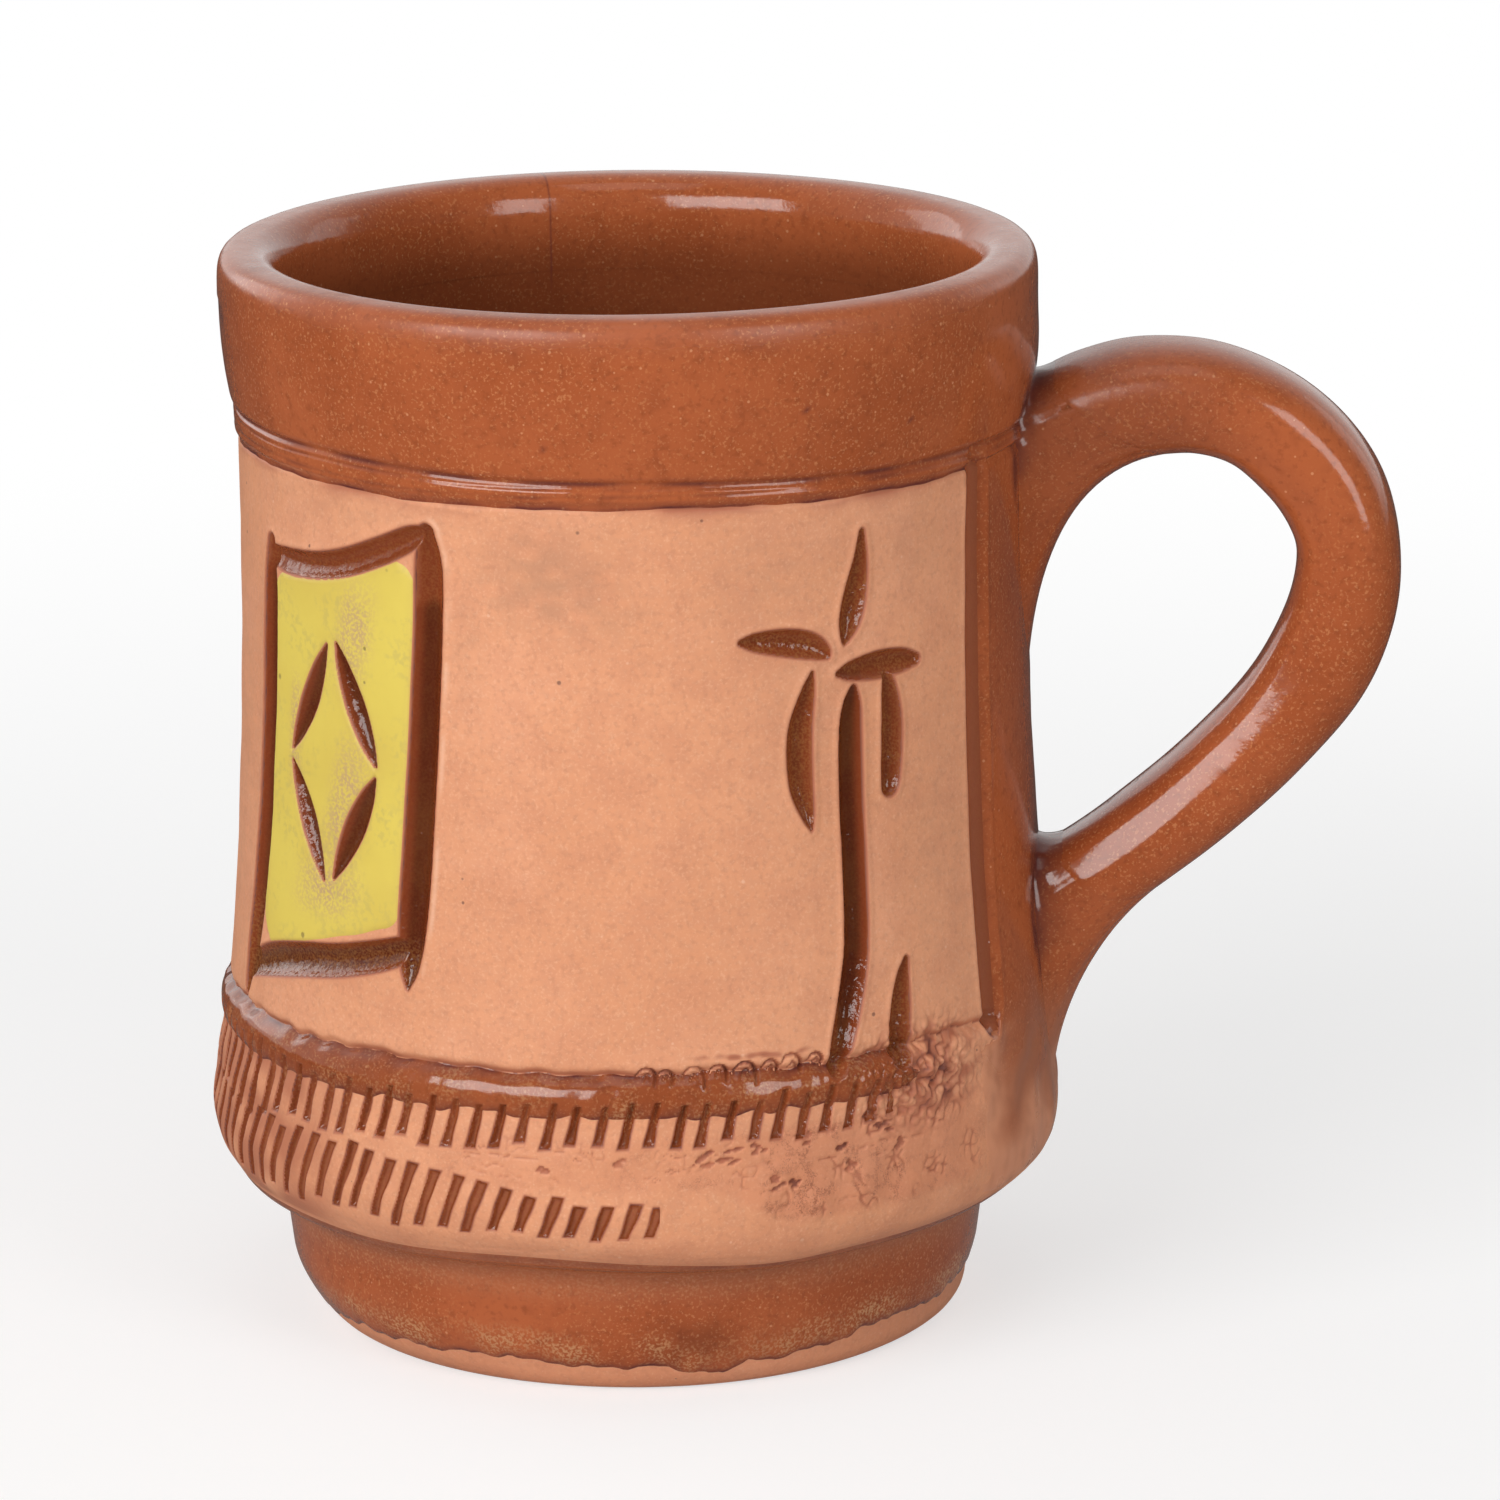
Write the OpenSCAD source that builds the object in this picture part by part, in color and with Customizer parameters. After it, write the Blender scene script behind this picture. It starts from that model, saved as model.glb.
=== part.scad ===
// Jarrito clay mug: a thrown earthenware body and a pulled handle, luted together with slip,
// with carved and pressed ornament, coats of brown glaze and a panel of yellow slip.
// +Z is up, the origin is the centre of the base on the table, and the handle points along +X.
// Angles run around the mug from the handle. Negative ones are on the side of the palm tree.

/* [Belly] */
// Widest diameter of the belly
belly_d = 84.2; // [76:0.2:94]
// How far the belly's sharp lower edge lies in from its widest ring
belly_tuck = 2.5; // [1:0.1:4]
// Height over which the belly swells from its lower edge to its widest ring
belly_swell_h = 5.5; // [3:0.5:9]
// Height of the notched band above the widest ring
band_h = 9; // [7:0.5:14]
// How far the band leans in over its height
band_lean = 0.9; // [0:0.1:2]
// Height of the sloping shoulder above the band
shoulder_h = 4; // [2:0.25:7]
// How far the shoulder slopes in from the band to the wall
shoulder_in = 0.9; // [0.5:0.1:3]

/* [Foot] */
// Height of the foot up to the undercut
foot_h = 14; // [9:0.5:20]
// How far the foot's top lies in from the belly's lower edge
undercut_in = 5.6; // [3:0.2:8]
// Rise of the undercut from the foot to the belly's lower edge
undercut_h = 2; // [0.5:0.25:4]
// How far the foot draws in from its top to its bottom edge
foot_taper = 1.2; // [0:0.1:3]
// Width of the rounding on the foot's bottom edge
foot_edge_w = 2.05; // [1:0.05:4]
// Height of the rounding on the foot's bottom edge
foot_edge_h = 2.5; // [1:0.25:4]
// Height of the bare clay between that rounding and the foot's glaze
foot_bare_h = 2.1; // [1:0.1:5]

/* [Wall] */
// Height of the wall from the shoulder to the bead
wall_h = 54; // [44:0.5:70]
// How far the wall leans in from the shoulder to the bead
wall_lean = 1.95; // [0:0.05:4]
// Inward curve of the wall at half height
waist_sag = 0.7; // [0:0.1:1.6]
// How far the shoulder's upper edge stands proud of the wall
shoulder_proud = 0.3; // [0.1:0.05:0.8]
// Thickness of the wall just above the shoulder
wall_t = 6.3; // [4.5:0.1:8]

/* [Rim] */
// Height of the bead under the rim
bead_h = 2.6; // [1.6:0.1:5]
// Width of the scored line on each side of the bead and above the shoulder
line_w = 0.9; // [0.4:0.1:1.4]
// Depth of the scored lines
line_depth = 0.45; // [0.2:0.05:0.8]
// How far the rim's lower edge stands out from the wall
rim_step = 0.55; // [0.2:0.05:1.5]
// How far the rim flares from its lower edge to the lip
rim_flare = 1; // [0:0.1:3]
// Height of the rim from the bead to the top of the lip
rim_h = 16.4; // [11:0.2:24]
// Height of the lip's rounding
lip_h = 4.2; // [2:0.2:6]
// Width of the lip from the outside to the mouth
lip_w = 5.5; // [4:0.1:8]

/* [Inside] */
// Thickness of the floor
floor_t = 8; // [5:0.5:12]
// Radius of the curve from the floor up to the inside wall
floor_round = 13; // [6:0.5:20]

/* [Handle] */
// How far the handle reaches out from the wall
handle_reach = 36.6; // [30:0.2:46]
// Depth of the handle's top below the lip
handle_drop = 9.2; // [6:0.2:16]
// Thickness of the handle over the top of its bend
handle_t = 10.8; // [8:0.2:12]
// Thickness of the handle along its lower run
handle_run_t = 9.6; // [8:0.2:12]
// Extra thickness, on each side, of the handle's roots inside the wall
root_flare = 1.6; // [0:0.2:3]
// Width of the handle
handle_w = 14.5; // [12.5:0.5:20]
// Radius of the handle's bend, at the middle of its thickness
handle_bend_r = 15.9; // [13:0.1:18]
// Angle around the bend where the upper root leaves it
upper_root_angle = 150; // [140:1:160]
// Height above the shoulder where the handle's lower end meets the wall
lower_root_rise = 7.4; // [6:0.2:12]
// Width of the slip that is worked round each end of the handle
luting_w = 2.4; // [1:0.2:4]
// Height of that slip off the wall
luting_h = 1.4; // [1:0.2:3]
// Angle from the handle to the upright groove on each side
groove_angle = 27.5; // [24:0.5:34]

/* [Panel] */
// Angle to the middle of the framed panel
panel_angle = -134; // [-145:1:-125]
// Width of the panel around the wall, at the middle of its frame
panel_w = 25; // [20:0.5:32]
// Height of the wall left below the panel
panel_gap_low = 7.1; // [5:0.1:12]
// Height of the wall left above the panel
panel_gap_top = 5.9; // [5:0.1:12]
// Lean of the panel's upper and lower edges
panel_slant = 9; // [0:1:12]
// Width of the field left on each side of the lozenge
lozenge_gap_w = 6.25; // [4:0.05:8]
// Height of the field left above and below the lozenge
lozenge_gap_h = 8.5; // [5:0.1:12]

/* [Palm] */
// Angle to the middle of the palm's crown
palm_angle = -54.9; // [-64:0.5:-52]
// Spread of the palm's leaves around the wall
palm_w = 19.4; // [14:0.2:24]
// Height of the wall left above the palm's highest leaf
palm_gap = 2.4; // [1:0.2:10]

/* [Cuts and coats] */
// Radius of the round gouge that carves the strokes
gouge_r = 1.35; // [0.9:0.05:2]
// Depth of the carved strokes
gouge_depth = 1.1; // [0.7:0.05:1.6]
// Width of the frame and of the upright grooves
channel_w = 2.8; // [1.8:0.1:4]
// Thickness of the glaze that lies in the bottom of a cut
pool_t = 0.45; // [0.2:0.05:0.6]
// Thickness of the brown glaze coats
glaze_t = 0.3; // [0.15:0.05:0.5]
// Thickness of the yellow slip
slip_t = 0.25; // [0.1:0.05:0.5]

/* [Notches] */
// Notches in a full turn
notch_count = 105; // [60:1:130]
// Length of the upper notches
upper_notch_l = 3.4; // [2:0.2:4]
// Length of the lower notches
lower_notch_l = 5.4; // [3:0.2:7]
// Radius of the wheel's teeth that press the notches
notch_r = 0.5; // [0.3:0.05:0.7]
// Depth of the notches
notch_depth = 0.5; // [0.3:0.05:0.8]
// Thickness of the glaze in the bottom of a notch
notch_pool_t = 0.2; // [0.1:0.05:0.3]
// Lean of the notches
notch_lean = 10; // [0:1:20]
// Angle kept free of notches on each side of the handle
notch_clear_angle = 47; // [40:1:60]
// Angle where the lower row of notches fades out
lower_row_end = -84; // [-100:1:-70]

/* [Hidden] */
$fn = 96;

// How far a cutting shape runs past the face that it cuts
overrun = 3;
arc_steps = 8;
wall_steps = 8;
leaf_steps = 10;
leaf_fullness = 0.65;
strap_sides = 18;
bend_steps = 16;
oval_steps = 28;
notch_sides = 16;

clay = "#D99A78";
glaze = "#9A4E2C";
dark_glaze = "#6B3A20";
yellow = "#E6D24C";

// Heights of the profile's stations, from the table up
belly_z = foot_h + undercut_h;
widest_z = belly_z + belly_swell_h;
band_z = widest_z + band_h;
shoulder_z = band_z + shoulder_h;
bead_z = shoulder_z + wall_h;
rim_z = bead_z + bead_h;
lip_z = rim_z + rim_h;

// Radii of the profile's stations, each worked out from its neighbour
belly_r = belly_d / 2;
belly_edge_r = belly_r - belly_tuck;
foot_top_r = belly_edge_r - undercut_in;
foot_low_r = foot_top_r - foot_taper;
band_top_r = belly_r - band_lean;
wall_low_r = band_top_r - shoulder_in;
wall_top_r = wall_low_r - wall_lean;
rim_low_r = wall_top_r + rim_step;
rim_r = rim_low_r + rim_flare;
lip_r = rim_r - lip_w / 2;
inside_low_r = wall_low_r - wall_t;

// Radius of the wall at height z: a straight taper drawn in at the waist by a parabola
function wall_share(z) = (z - shoulder_z) / wall_h;
function wall_r(z) = let (u = wall_share(z))
    wall_low_r + (wall_top_r - wall_low_r) * u - 4 * waist_sag * u * (1 - u);

// A quarter ellipse about centre c, from angle a0 to a1, with radii rx and rz
function bend(c, rx, rz, a0, a1) =
    [for (i = [0 : arc_steps]) let (a = a0 + (a1 - a0) * i / arc_steps) c + [rx * cos(a), rz * sin(a)]];

// The outside from the base up to the lip, and the inside from the lip down to the floor's middle
foot_bare_r = foot_low_r + foot_taper * foot_bare_h / (foot_h - foot_edge_h);
foot_path = concat(
    bend([foot_low_r - foot_edge_w, foot_edge_h], foot_edge_w, foot_edge_h, -90, 0),
    [[foot_bare_r, foot_edge_h + foot_bare_h], [foot_top_r, foot_h]]);
belly_path = concat(
    bend([belly_edge_r, widest_z], belly_tuck, belly_swell_h, -90, 0),
    [[band_top_r, band_z]]);
shoulder_path = [
    [band_top_r, band_z],
    [wall_low_r + shoulder_proud, shoulder_z - line_w],
    [wall_low_r - line_depth, shoulder_z - line_w / 2]];
wall_path = [for (i = [0 : wall_steps]) let (z = shoulder_z + wall_h * i / wall_steps) [wall_r(z), z]];
bead_path = [
    [wall_top_r - line_depth, bead_z + line_w / 2],
    [wall_top_r, bead_z + line_w],
    [wall_top_r, rim_z - line_w / 2],
    [wall_top_r - line_depth, rim_z]];
rim_path = concat(
    [[rim_low_r, rim_z + line_w]],
    bend([lip_r, lip_z - lip_h], lip_w / 2, lip_h, 0, 90));
liner_path = concat(
    bend([lip_r, lip_z - lip_h], lip_w / 2, lip_h, 90, 180),
    bend([inside_low_r - floor_round, floor_t + floor_round], floor_round, floor_round, 0, -90),
    [[0, floor_t]]);

// The whole profile as one path, so that neighbouring coats meet edge to edge
function tail(path) = [for (i = [1 : len(path) - 1]) path[i]];
profile = concat(
    foot_path, belly_path, tail(shoulder_path), wall_path, bead_path, rim_path, tail(liner_path));
foot_end = len(foot_path) - 1;
band_end = foot_end + len(belly_path);
shoulder_end = band_end + len(shoulder_path) - 1;
wall_end = shoulder_end + len(wall_path);
bead_end = wall_end + len(bead_path);
lip_end = bead_end + len(rim_path);
floor_end = len(profile) - 1;

// Outward direction of the path's piece that starts at point i, and the mitre of two pieces
function side(path, i) = let (d = path[i + 1] - path[i]) [d[1], -d[0]] / norm(d);
function mitre(a, b) = (a + b) / (1 + a * b);
function outward(path, i) =
    i == 0 ? side(path, 0)
    : i == len(path) - 1 ? side(path, i - 1)
    : mitre(side(path, i - 1), side(path, i));
function raised(path, t, first, last) = [for (i = [first : last]) path[i] + t * outward(path, i)];
function reversed(path) = [for (i = [len(path) - 1 : -1 : 0]) path[i]];

// A coat of thickness t on the profile's points from first to last
module coat(first, last, t) {
    rotate_extrude()
        polygon(concat(raised(profile, 0, first, last), reversed(raised(profile, t, first, last))));
}

// The outside from the belly to the rim without its scored lines, where the handle is luted on
luting_path = concat(
    [[belly_r, belly_z], [belly_r, widest_z], [band_top_r, band_z],
        [wall_low_r + shoulder_proud, shoulder_z - line_w]],
    wall_path,
    [[wall_top_r, rim_z - line_w / 2], [rim_low_r, rim_z + line_w], [rim_r, lip_z - lip_h]]);

// Everything inside that outside, raised by grow
module luting_core(grow) {
    rotate_extrude()
        polygon(concat(
            [[0, belly_z]],
            raised(luting_path, grow, 0, len(luting_path) - 1),
            [[0, lip_z - lip_h]]));
}

// A sector of the wall's skin, from depth below the surface to height above it
module wall_sector(from_angle, to_angle, depth, height) {
    rotate([0, 0, from_angle])
        rotate_extrude(angle = to_angle - from_angle)
            polygon(concat(
                [for (p = wall_path) p - [depth, 0]],
                reversed([for (p = wall_path) p + [height, 0]])));
}

function degrees_round(length, radius) = length / radius * 180 / PI;

// Stands its children on the wall, halfway between two places that are each an angle and a
// height, with +X out of the wall and +Z along the line between them
module between(from, to) {
    a = (from[0] + to[0]) / 2;
    z = (from[1] + to[1]) / 2;
    slope = (wall_r(to[1]) - wall_r(from[1])) / (to[1] - from[1]);
    around = (to[0] - from[0]) / 180 * PI * wall_r(z);
    rotate([0, 0, a])
        translate([wall_r(z), 0, z])
            rotate([0, atan(slope), 0])
                rotate([-atan2(around, to[1] - from[1]), 0, 0])
                    children();
}
function stroke_length(from, to) = let (r = wall_r((from[1] + to[1]) / 2))
    norm([(to[0] - from[0]) / 180 * PI * r, to[1] - from[1]]);

// The part of a stroke that its glaze fills, a flat-topped pool in the bottom of the cut
module pool(length, depth, t) {
    intersection() {
        children();
        translate([-depth - overrun, -length, -length])
            cube([overrun + t, 2 * length, 2 * length]);
    }
}

// A pointed gouge stroke, cut when t is the full depth and pooled when t is less
gouge_lift = gouge_r - gouge_depth;
module leaf_stroke(from, to, t) {
    length = stroke_length(from, to);
    between(from, to)
        pool(length, gouge_depth, t)
            translate([gouge_lift, 0, -length / 2])
                rotate_extrude()
                    polygon([for (i = [0 : leaf_steps]) let (u = i / leaf_steps)
                        [gouge_r * pow(4 * u * (1 - u), leaf_fullness), length * u]]);
}

// A gouge stroke of even width with round ends
module even_stroke(from, to, t) {
    length = stroke_length(from, to);
    between(from, to)
        pool(length, gouge_depth, t)
            translate([gouge_lift, 0, -length / 2]) {
                cylinder(h = length, r = gouge_r);
                sphere(r = gouge_r);
                translate([0, 0, length])
                    sphere(r = gouge_r);
            }
}
cut_t = gouge_depth + overrun;

// Palm: each stroke runs between two points, as shares of the palm's spread and height
leaf_shares = [
    [[0.14, 1], [0.03, 0.785]],
    [[-0.5, 0.815], [-0.06, 0.775]],
    [[0.01, 0.72], [0.5, 0.745]],
    [[-0.145, 0.745], [-0.235, 0.6]],
    [[-0.235, 0.6], [-0.16, 0.45]],
    [[0.29, 0.7], [0.3, 0.47]],
    [[0.35, 0.19], [0.29, 0.01]]];
trunk_shares = [[0.09, 0.67], [0.05, 0.22], [-0.05, 0.03]];
palm_h = wall_h - palm_gap;
function palm_place(share) = let (z = shoulder_z + share[1] * palm_h)
    [palm_angle + degrees_round(share[0] * palm_w, wall_r(z)), z];

module palm_strokes(t) {
    for (leaf = leaf_shares)
        leaf_stroke(palm_place(leaf[0]), palm_place(leaf[1]), t);
    for (i = [1 : len(trunk_shares) - 1])
        even_stroke(palm_place(trunk_shares[i - 1]), palm_place(trunk_shares[i]), t);
}

// Panel: a slanted field of the wall's skin, w wide and h high, about the panel's middle
panel_h = wall_h - panel_gap_low - panel_gap_top;
panel_z = shoulder_z + panel_gap_low + panel_h / 2;
module panel_field(w, h, depth, height) {
    half_angle = degrees_round(w, wall_r(panel_z)) / 2;
    intersection() {
        wall_sector(panel_angle - half_angle, panel_angle + half_angle, depth, height);
        rotate([0, 0, panel_angle])
            translate([0, 0, panel_z])
                rotate([panel_slant, 0, 0])
                    translate([0, -belly_r, -h / 2])
                        cube([belly_r, belly_d, h]);
    }
}

module panel_frame(depth, height) {
    difference() {
        panel_field(panel_w + channel_w, panel_h + channel_w, depth, height);
        panel_field(panel_w - channel_w, panel_h - channel_w, depth + overrun, height + overrun);
    }
}

// Lozenge: four strokes that stop short of its corners, as shares of its width and height
lozenge_shares = [
    [[0.04, 0.46], [0.46, 0.04]], [[0.46, -0.04], [0.04, -0.46]],
    [[-0.04, -0.46], [-0.46, -0.04]], [[-0.46, 0.04], [-0.04, 0.46]]];
lozenge_w = panel_w - 2 * lozenge_gap_w;
lozenge_h = panel_h - 2 * lozenge_gap_h;
function lozenge_place(share) = let (z = panel_z + share[1] * lozenge_h)
    [panel_angle + degrees_round(share[0] * lozenge_w, wall_r(z)), z];

module lozenge_strokes(t) {
    for (stroke = lozenge_shares)
        leaf_stroke(lozenge_place(stroke[0]), lozenge_place(stroke[1]), t);
}

// Upright grooves on both sides of the handle
module upright_grooves(depth, height) {
    half_angle = degrees_round(channel_w, wall_r(panel_z)) / 2;
    for (a = [-groove_angle, groove_angle])
        wall_sector(a - half_angle, a + half_angle, depth, height);
}

// Notches: two rows pressed round the band by a toothed wheel
notch_pitch = 360 / notch_count;
upper_row_z = band_z - upper_notch_l / 2 - line_w / 2;
lower_row_z = widest_z + lower_notch_l / 4;
function band_r(z) = belly_r - band_lean * (z - widest_z) / band_h;

module notch_row(first_angle, last_angle, z, length, t) {
    steps = floor((last_angle - first_angle) / notch_pitch);
    for (i = [0 : steps])
        rotate([0, 0, first_angle + i * notch_pitch])
            translate([band_r(z), 0, z])
                rotate([-notch_lean, 0, 0])
                    pool(length, notch_depth, t)
                        translate([notch_r - notch_depth, 0, -length / 2])
                            cylinder(h = length, r = notch_r, $fn = notch_sides);
}

module notches(t) {
    notch_row(notch_clear_angle, 360 - notch_clear_angle, upper_row_z, upper_notch_l, t);
    notch_row(notch_clear_angle, 360 + lower_row_end, lower_row_z, lower_notch_l, t);
}

// Handle: an oval strap in the plane y = 0, swept along an upper root, a bend and a lower run
handle_x = wall_r(shoulder_z + wall_h) + handle_reach - handle_t / 2 - handle_bend_r;
handle_z = lip_z - handle_drop - handle_t / 2 - handle_bend_r;
lower_root_in = handle_x - wall_low_r;
lower_root_drop = handle_z - shoulder_z - lower_root_rise;
lower_run_angle = atan2(lower_root_in, lower_root_drop)
    + asin(handle_bend_r / norm([lower_root_in, lower_root_drop]));
function bend_point(a) = [handle_x, handle_z] + handle_bend_r * [cos(a), sin(a)];
function bend_run(a) = [-sin(a), cos(a)];
root_t = handle_t + 2 * root_flare;
root_in = root_t / 2 + luting_w;
upper_root_l = (bend_point(upper_root_angle)[0] - wall_top_r + root_in) / sin(upper_root_angle);
lower_run_l = (bend_point(-lower_run_angle)[0] - wall_low_r + root_in) / sin(lower_run_angle);

// Each ring of the sweep: its middle, the angle that its thickness points at, and its thickness
strap_rings = concat(
    [[bend_point(upper_root_angle) + upper_root_l * bend_run(upper_root_angle), upper_root_angle, root_t]],
    [for (i = [0 : bend_steps])
        let (u = i / bend_steps)
        let (a = upper_root_angle - (upper_root_angle + lower_run_angle) * u)
        [bend_point(a), a, handle_t + (handle_run_t - handle_t) * u]],
    [[bend_point(-lower_run_angle) - lower_run_l / 2 * bend_run(-lower_run_angle), -lower_run_angle,
        handle_run_t]],
    [[bend_point(-lower_run_angle) - lower_run_l * bend_run(-lower_run_angle), -lower_run_angle, root_t]]);

function strap_ring(ring, grow) =
    [for (i = [0 : strap_sides - 1])
        let (b = 360 * (i + 0.5) / strap_sides)
        let (out = (ring[2] / 2 + grow) * cos(b))
        let (aside = (handle_w / handle_t * ring[2] / 2 + grow) * sin(b))
        [ring[0][0] + out * cos(ring[1]), aside, ring[0][1] + out * sin(ring[1])]];

// Triangles of a tube between rings of points, of which the first has index start
function tube_faces(start, rings, inward) =
    [for (k = [0 : rings - 2]) for (i = [0 : strap_sides - 1])
        let (j = (i + 1) % strap_sides)
        let (a = start + k * strap_sides)
        let (b = a + strap_sides)
        each inward
            ? [[a + i, b + i, a + j], [a + j, b + i, b + j]]
            : [[a + j, b + i, a + i], [b + j, b + i, a + j]]];

rings = len(strap_rings);
inner_start = rings * strap_sides;
module strap() {
    polyhedron(
        points = [for (ring = strap_rings) each strap_ring(ring, 0)],
        faces = concat(
            [[for (i = [strap_sides - 1 : -1 : 0]) i]],
            tube_faces(0, rings, false),
            [[for (i = [0 : strap_sides - 1]) inner_start - strap_sides + i]]));
}

// A coat of thickness t on the strap, open at both ends
module strap_coat(t) {
    last = inner_start - strap_sides;
    polyhedron(
        points = concat(
            [for (ring = strap_rings) each strap_ring(ring, t)],
            [for (ring = strap_rings) each strap_ring(ring, 0)]),
        faces = concat(
            tube_faces(0, rings, false),
            tube_faces(inner_start, rings, true),
            [for (i = [0 : strap_sides - 1])
                let (j = (i + 1) % strap_sides)
                each [
                    [j, i, inner_start + i],
                    [inner_start + j, j, inner_start + i],
                    [last + i, last + j, inner_start + last + i],
                    [inner_start + last + i, last + j, inner_start + last + j]]]));
}

// Slip worked round each end of the strap: an oval on the wall, round the place where they meet
upper_luting_z = bend_point(upper_root_angle)[1]
    + (bend_point(upper_root_angle)[0] - wall_top_r) / tan(upper_root_angle);
lower_luting_z = shoulder_z + lower_root_rise;
luting_half_w = handle_w / 2 + root_flare / 2 + luting_w;
upper_luting_half_h = handle_t / 2 / sin(upper_root_angle) + luting_w;
lower_luting_half_h = handle_run_t / 2 / sin(lower_run_angle) + luting_w;

module luting_oval(z, half_h) {
    translate([0, 0, z])
        rotate([90, 0, 90])
            linear_extrude(height = belly_d)
                polygon([for (i = [0 : oval_steps - 1]) let (a = 360 * (i + 0.5) / oval_steps)
                    [luting_half_w * cos(a), half_h * sin(a)]]);
}

module upper_oval() {
    luting_oval(upper_luting_z, upper_luting_half_h);
}

module lower_oval() {
    luting_oval(lower_luting_z, lower_luting_half_h);
}

module luting_pad() {
    difference() {
        intersection() {
            children();
            luting_core(luting_h);
        }
        luting_core(0);
        strap();
    }
}

module thrown_body() {
    color(clay)
        difference() {
            rotate_extrude()
                polygon(concat([[0, 0]], profile));
            palm_strokes(cut_t);
            panel_frame(gouge_depth, overrun);
            lozenge_strokes(cut_t);
            upright_grooves(gouge_depth, overrun);
            notches(cut_t);
        }
}

module pulled_handle() {
    color(clay)
        difference() {
            strap();
            luting_core(0);
        }
}

module upper_slip_joint() {
    color(glaze)
        luting_pad()
            upper_oval();
}

module lower_slip_joint() {
    color(glaze)
        luting_pad()
            lower_oval();
}

module liner_glaze() {
    color(glaze)
        coat(lip_end, floor_end, glaze_t);
}

module rim_glaze() {
    color(glaze)
        difference() {
            coat(wall_end, lip_end, glaze_t);
            upper_oval();
        }
}

module handle_glaze() {
    color(glaze)
        difference() {
            strap_coat(glaze_t);
            luting_core(luting_h);
        }
}

module strip_glaze() {
    half_angle = groove_angle - degrees_round(channel_w, wall_r(panel_z)) / 2;
    color(glaze)
        difference() {
            wall_sector(-half_angle, half_angle, 0, glaze_t);
            upper_oval();
            lower_oval();
        }
}

module groove_glaze() {
    color(dark_glaze)
        upright_grooves(gouge_depth, pool_t - gouge_depth);
}

module shoulder_glaze() {
    color(glaze)
        difference() {
            coat(band_end, shoulder_end, glaze_t);
            lower_oval();
        }
}

module notch_glaze() {
    color(dark_glaze)
        notches(notch_pool_t);
}

module foot_glaze() {
    color(glaze)
        coat(foot_end - 1, foot_end, glaze_t);
}

module frame_glaze() {
    color(dark_glaze)
        panel_frame(gouge_depth, pool_t - gouge_depth);
}

module lozenge_glaze() {
    color(dark_glaze)
        lozenge_strokes(pool_t);
}

module panel_slip() {
    color(yellow)
        difference() {
            panel_field(panel_w - channel_w, panel_h - channel_w, 0, slip_t);
            lozenge_strokes(cut_t);
        }
}

module palm_glaze() {
    color(dark_glaze)
        palm_strokes(pool_t);
}

thrown_body();
pulled_handle();
upper_slip_joint();
lower_slip_joint();
liner_glaze();
rim_glaze();
handle_glaze();
strip_glaze();
groove_glaze();
shoulder_glaze();
notch_glaze();
foot_glaze();
frame_glaze();
lozenge_glaze();
panel_slip();
palm_glaze();
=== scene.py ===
import math

import bpy
import numpy as np
from mathutils import Matrix


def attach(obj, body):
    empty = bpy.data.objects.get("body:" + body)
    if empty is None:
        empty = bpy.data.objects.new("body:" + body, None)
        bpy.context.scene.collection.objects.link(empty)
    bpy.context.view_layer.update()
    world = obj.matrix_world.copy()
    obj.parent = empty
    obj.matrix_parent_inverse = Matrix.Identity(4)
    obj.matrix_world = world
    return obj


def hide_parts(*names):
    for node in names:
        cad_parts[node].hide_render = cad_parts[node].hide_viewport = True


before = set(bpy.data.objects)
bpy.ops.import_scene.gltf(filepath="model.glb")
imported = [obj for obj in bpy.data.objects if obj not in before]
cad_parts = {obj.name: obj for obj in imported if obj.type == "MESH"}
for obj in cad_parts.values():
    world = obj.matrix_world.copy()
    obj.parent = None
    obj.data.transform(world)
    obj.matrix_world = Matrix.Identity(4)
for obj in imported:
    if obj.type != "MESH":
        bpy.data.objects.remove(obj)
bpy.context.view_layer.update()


# Thrown body: red earthenware turned on a wheel, with a foot cut in under a rolled belly.
# The grooves, the panel and the palm are gouged into the damp wall, and a toothed wheel presses
# the notches into the band. All lengths are millimetres, and turns are degrees from the front.
MM = 0.001
handle_turn = 85
base_r = 29.9
foot_low_r, foot_low_z = 32.4, 2.7
foot_top_r, foot_top_z = 33.9, 11.0
cove_z = 14.0
belly_edge_r, belly_edge_z = 39.9, 16.0
widest_r, widest_z = 42.1, 21.5
band_top_r, band_top_z = 41.2, 30.5
shoulder_r, shoulder_z, shoulder_swell = 40.75, 34.0, 0.35
wall_low_r, wall_top_r, waist_sag = 40.6, 38.55, 0.7
bead_z, bead_stand, rim_z = 88.8, 0.12, 91.4
rim_low_r, rim_r = 38.75, 40.0
lip_low_z, lip_z = 103.0, 107.05
mouth_r, inside_r = 34.4, 34.0
floor_z, floor_round = 8.4, 13.0
mean_r = 40


def eased(share):
    share = np.clip(share, 0, 1)
    return share * share * (3 - 2 * share)


def hump(value, place, reach):
    """1 at this place, and smoothly down to nothing past about twice this reach from it."""
    return np.exp(-((value - place) / reach) ** 2)


def lumps(seed, turn, z, across, waves=16):
    """Soft unevenness between about -1 and 1, with lumps about this far across."""
    any_phase, calming = 6.28, 1.6
    pick = np.random.default_rng(seed)
    total = np.zeros(np.broadcast(turn, z).shape)
    for _ in range(waves):
        lean = pick.uniform(0, math.pi)
        stretch = pick.uniform(0.7, 1.4)
        around = round(2 * math.pi * mean_r / across * math.cos(lean) / stretch)
        up = 2 * math.pi / across * math.sin(lean) / stretch
        total = total + np.sin(np.radians(turn) * around + z * up + pick.uniform(0, any_phase))
    return total / math.sqrt(waves / 2) / calming


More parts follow.
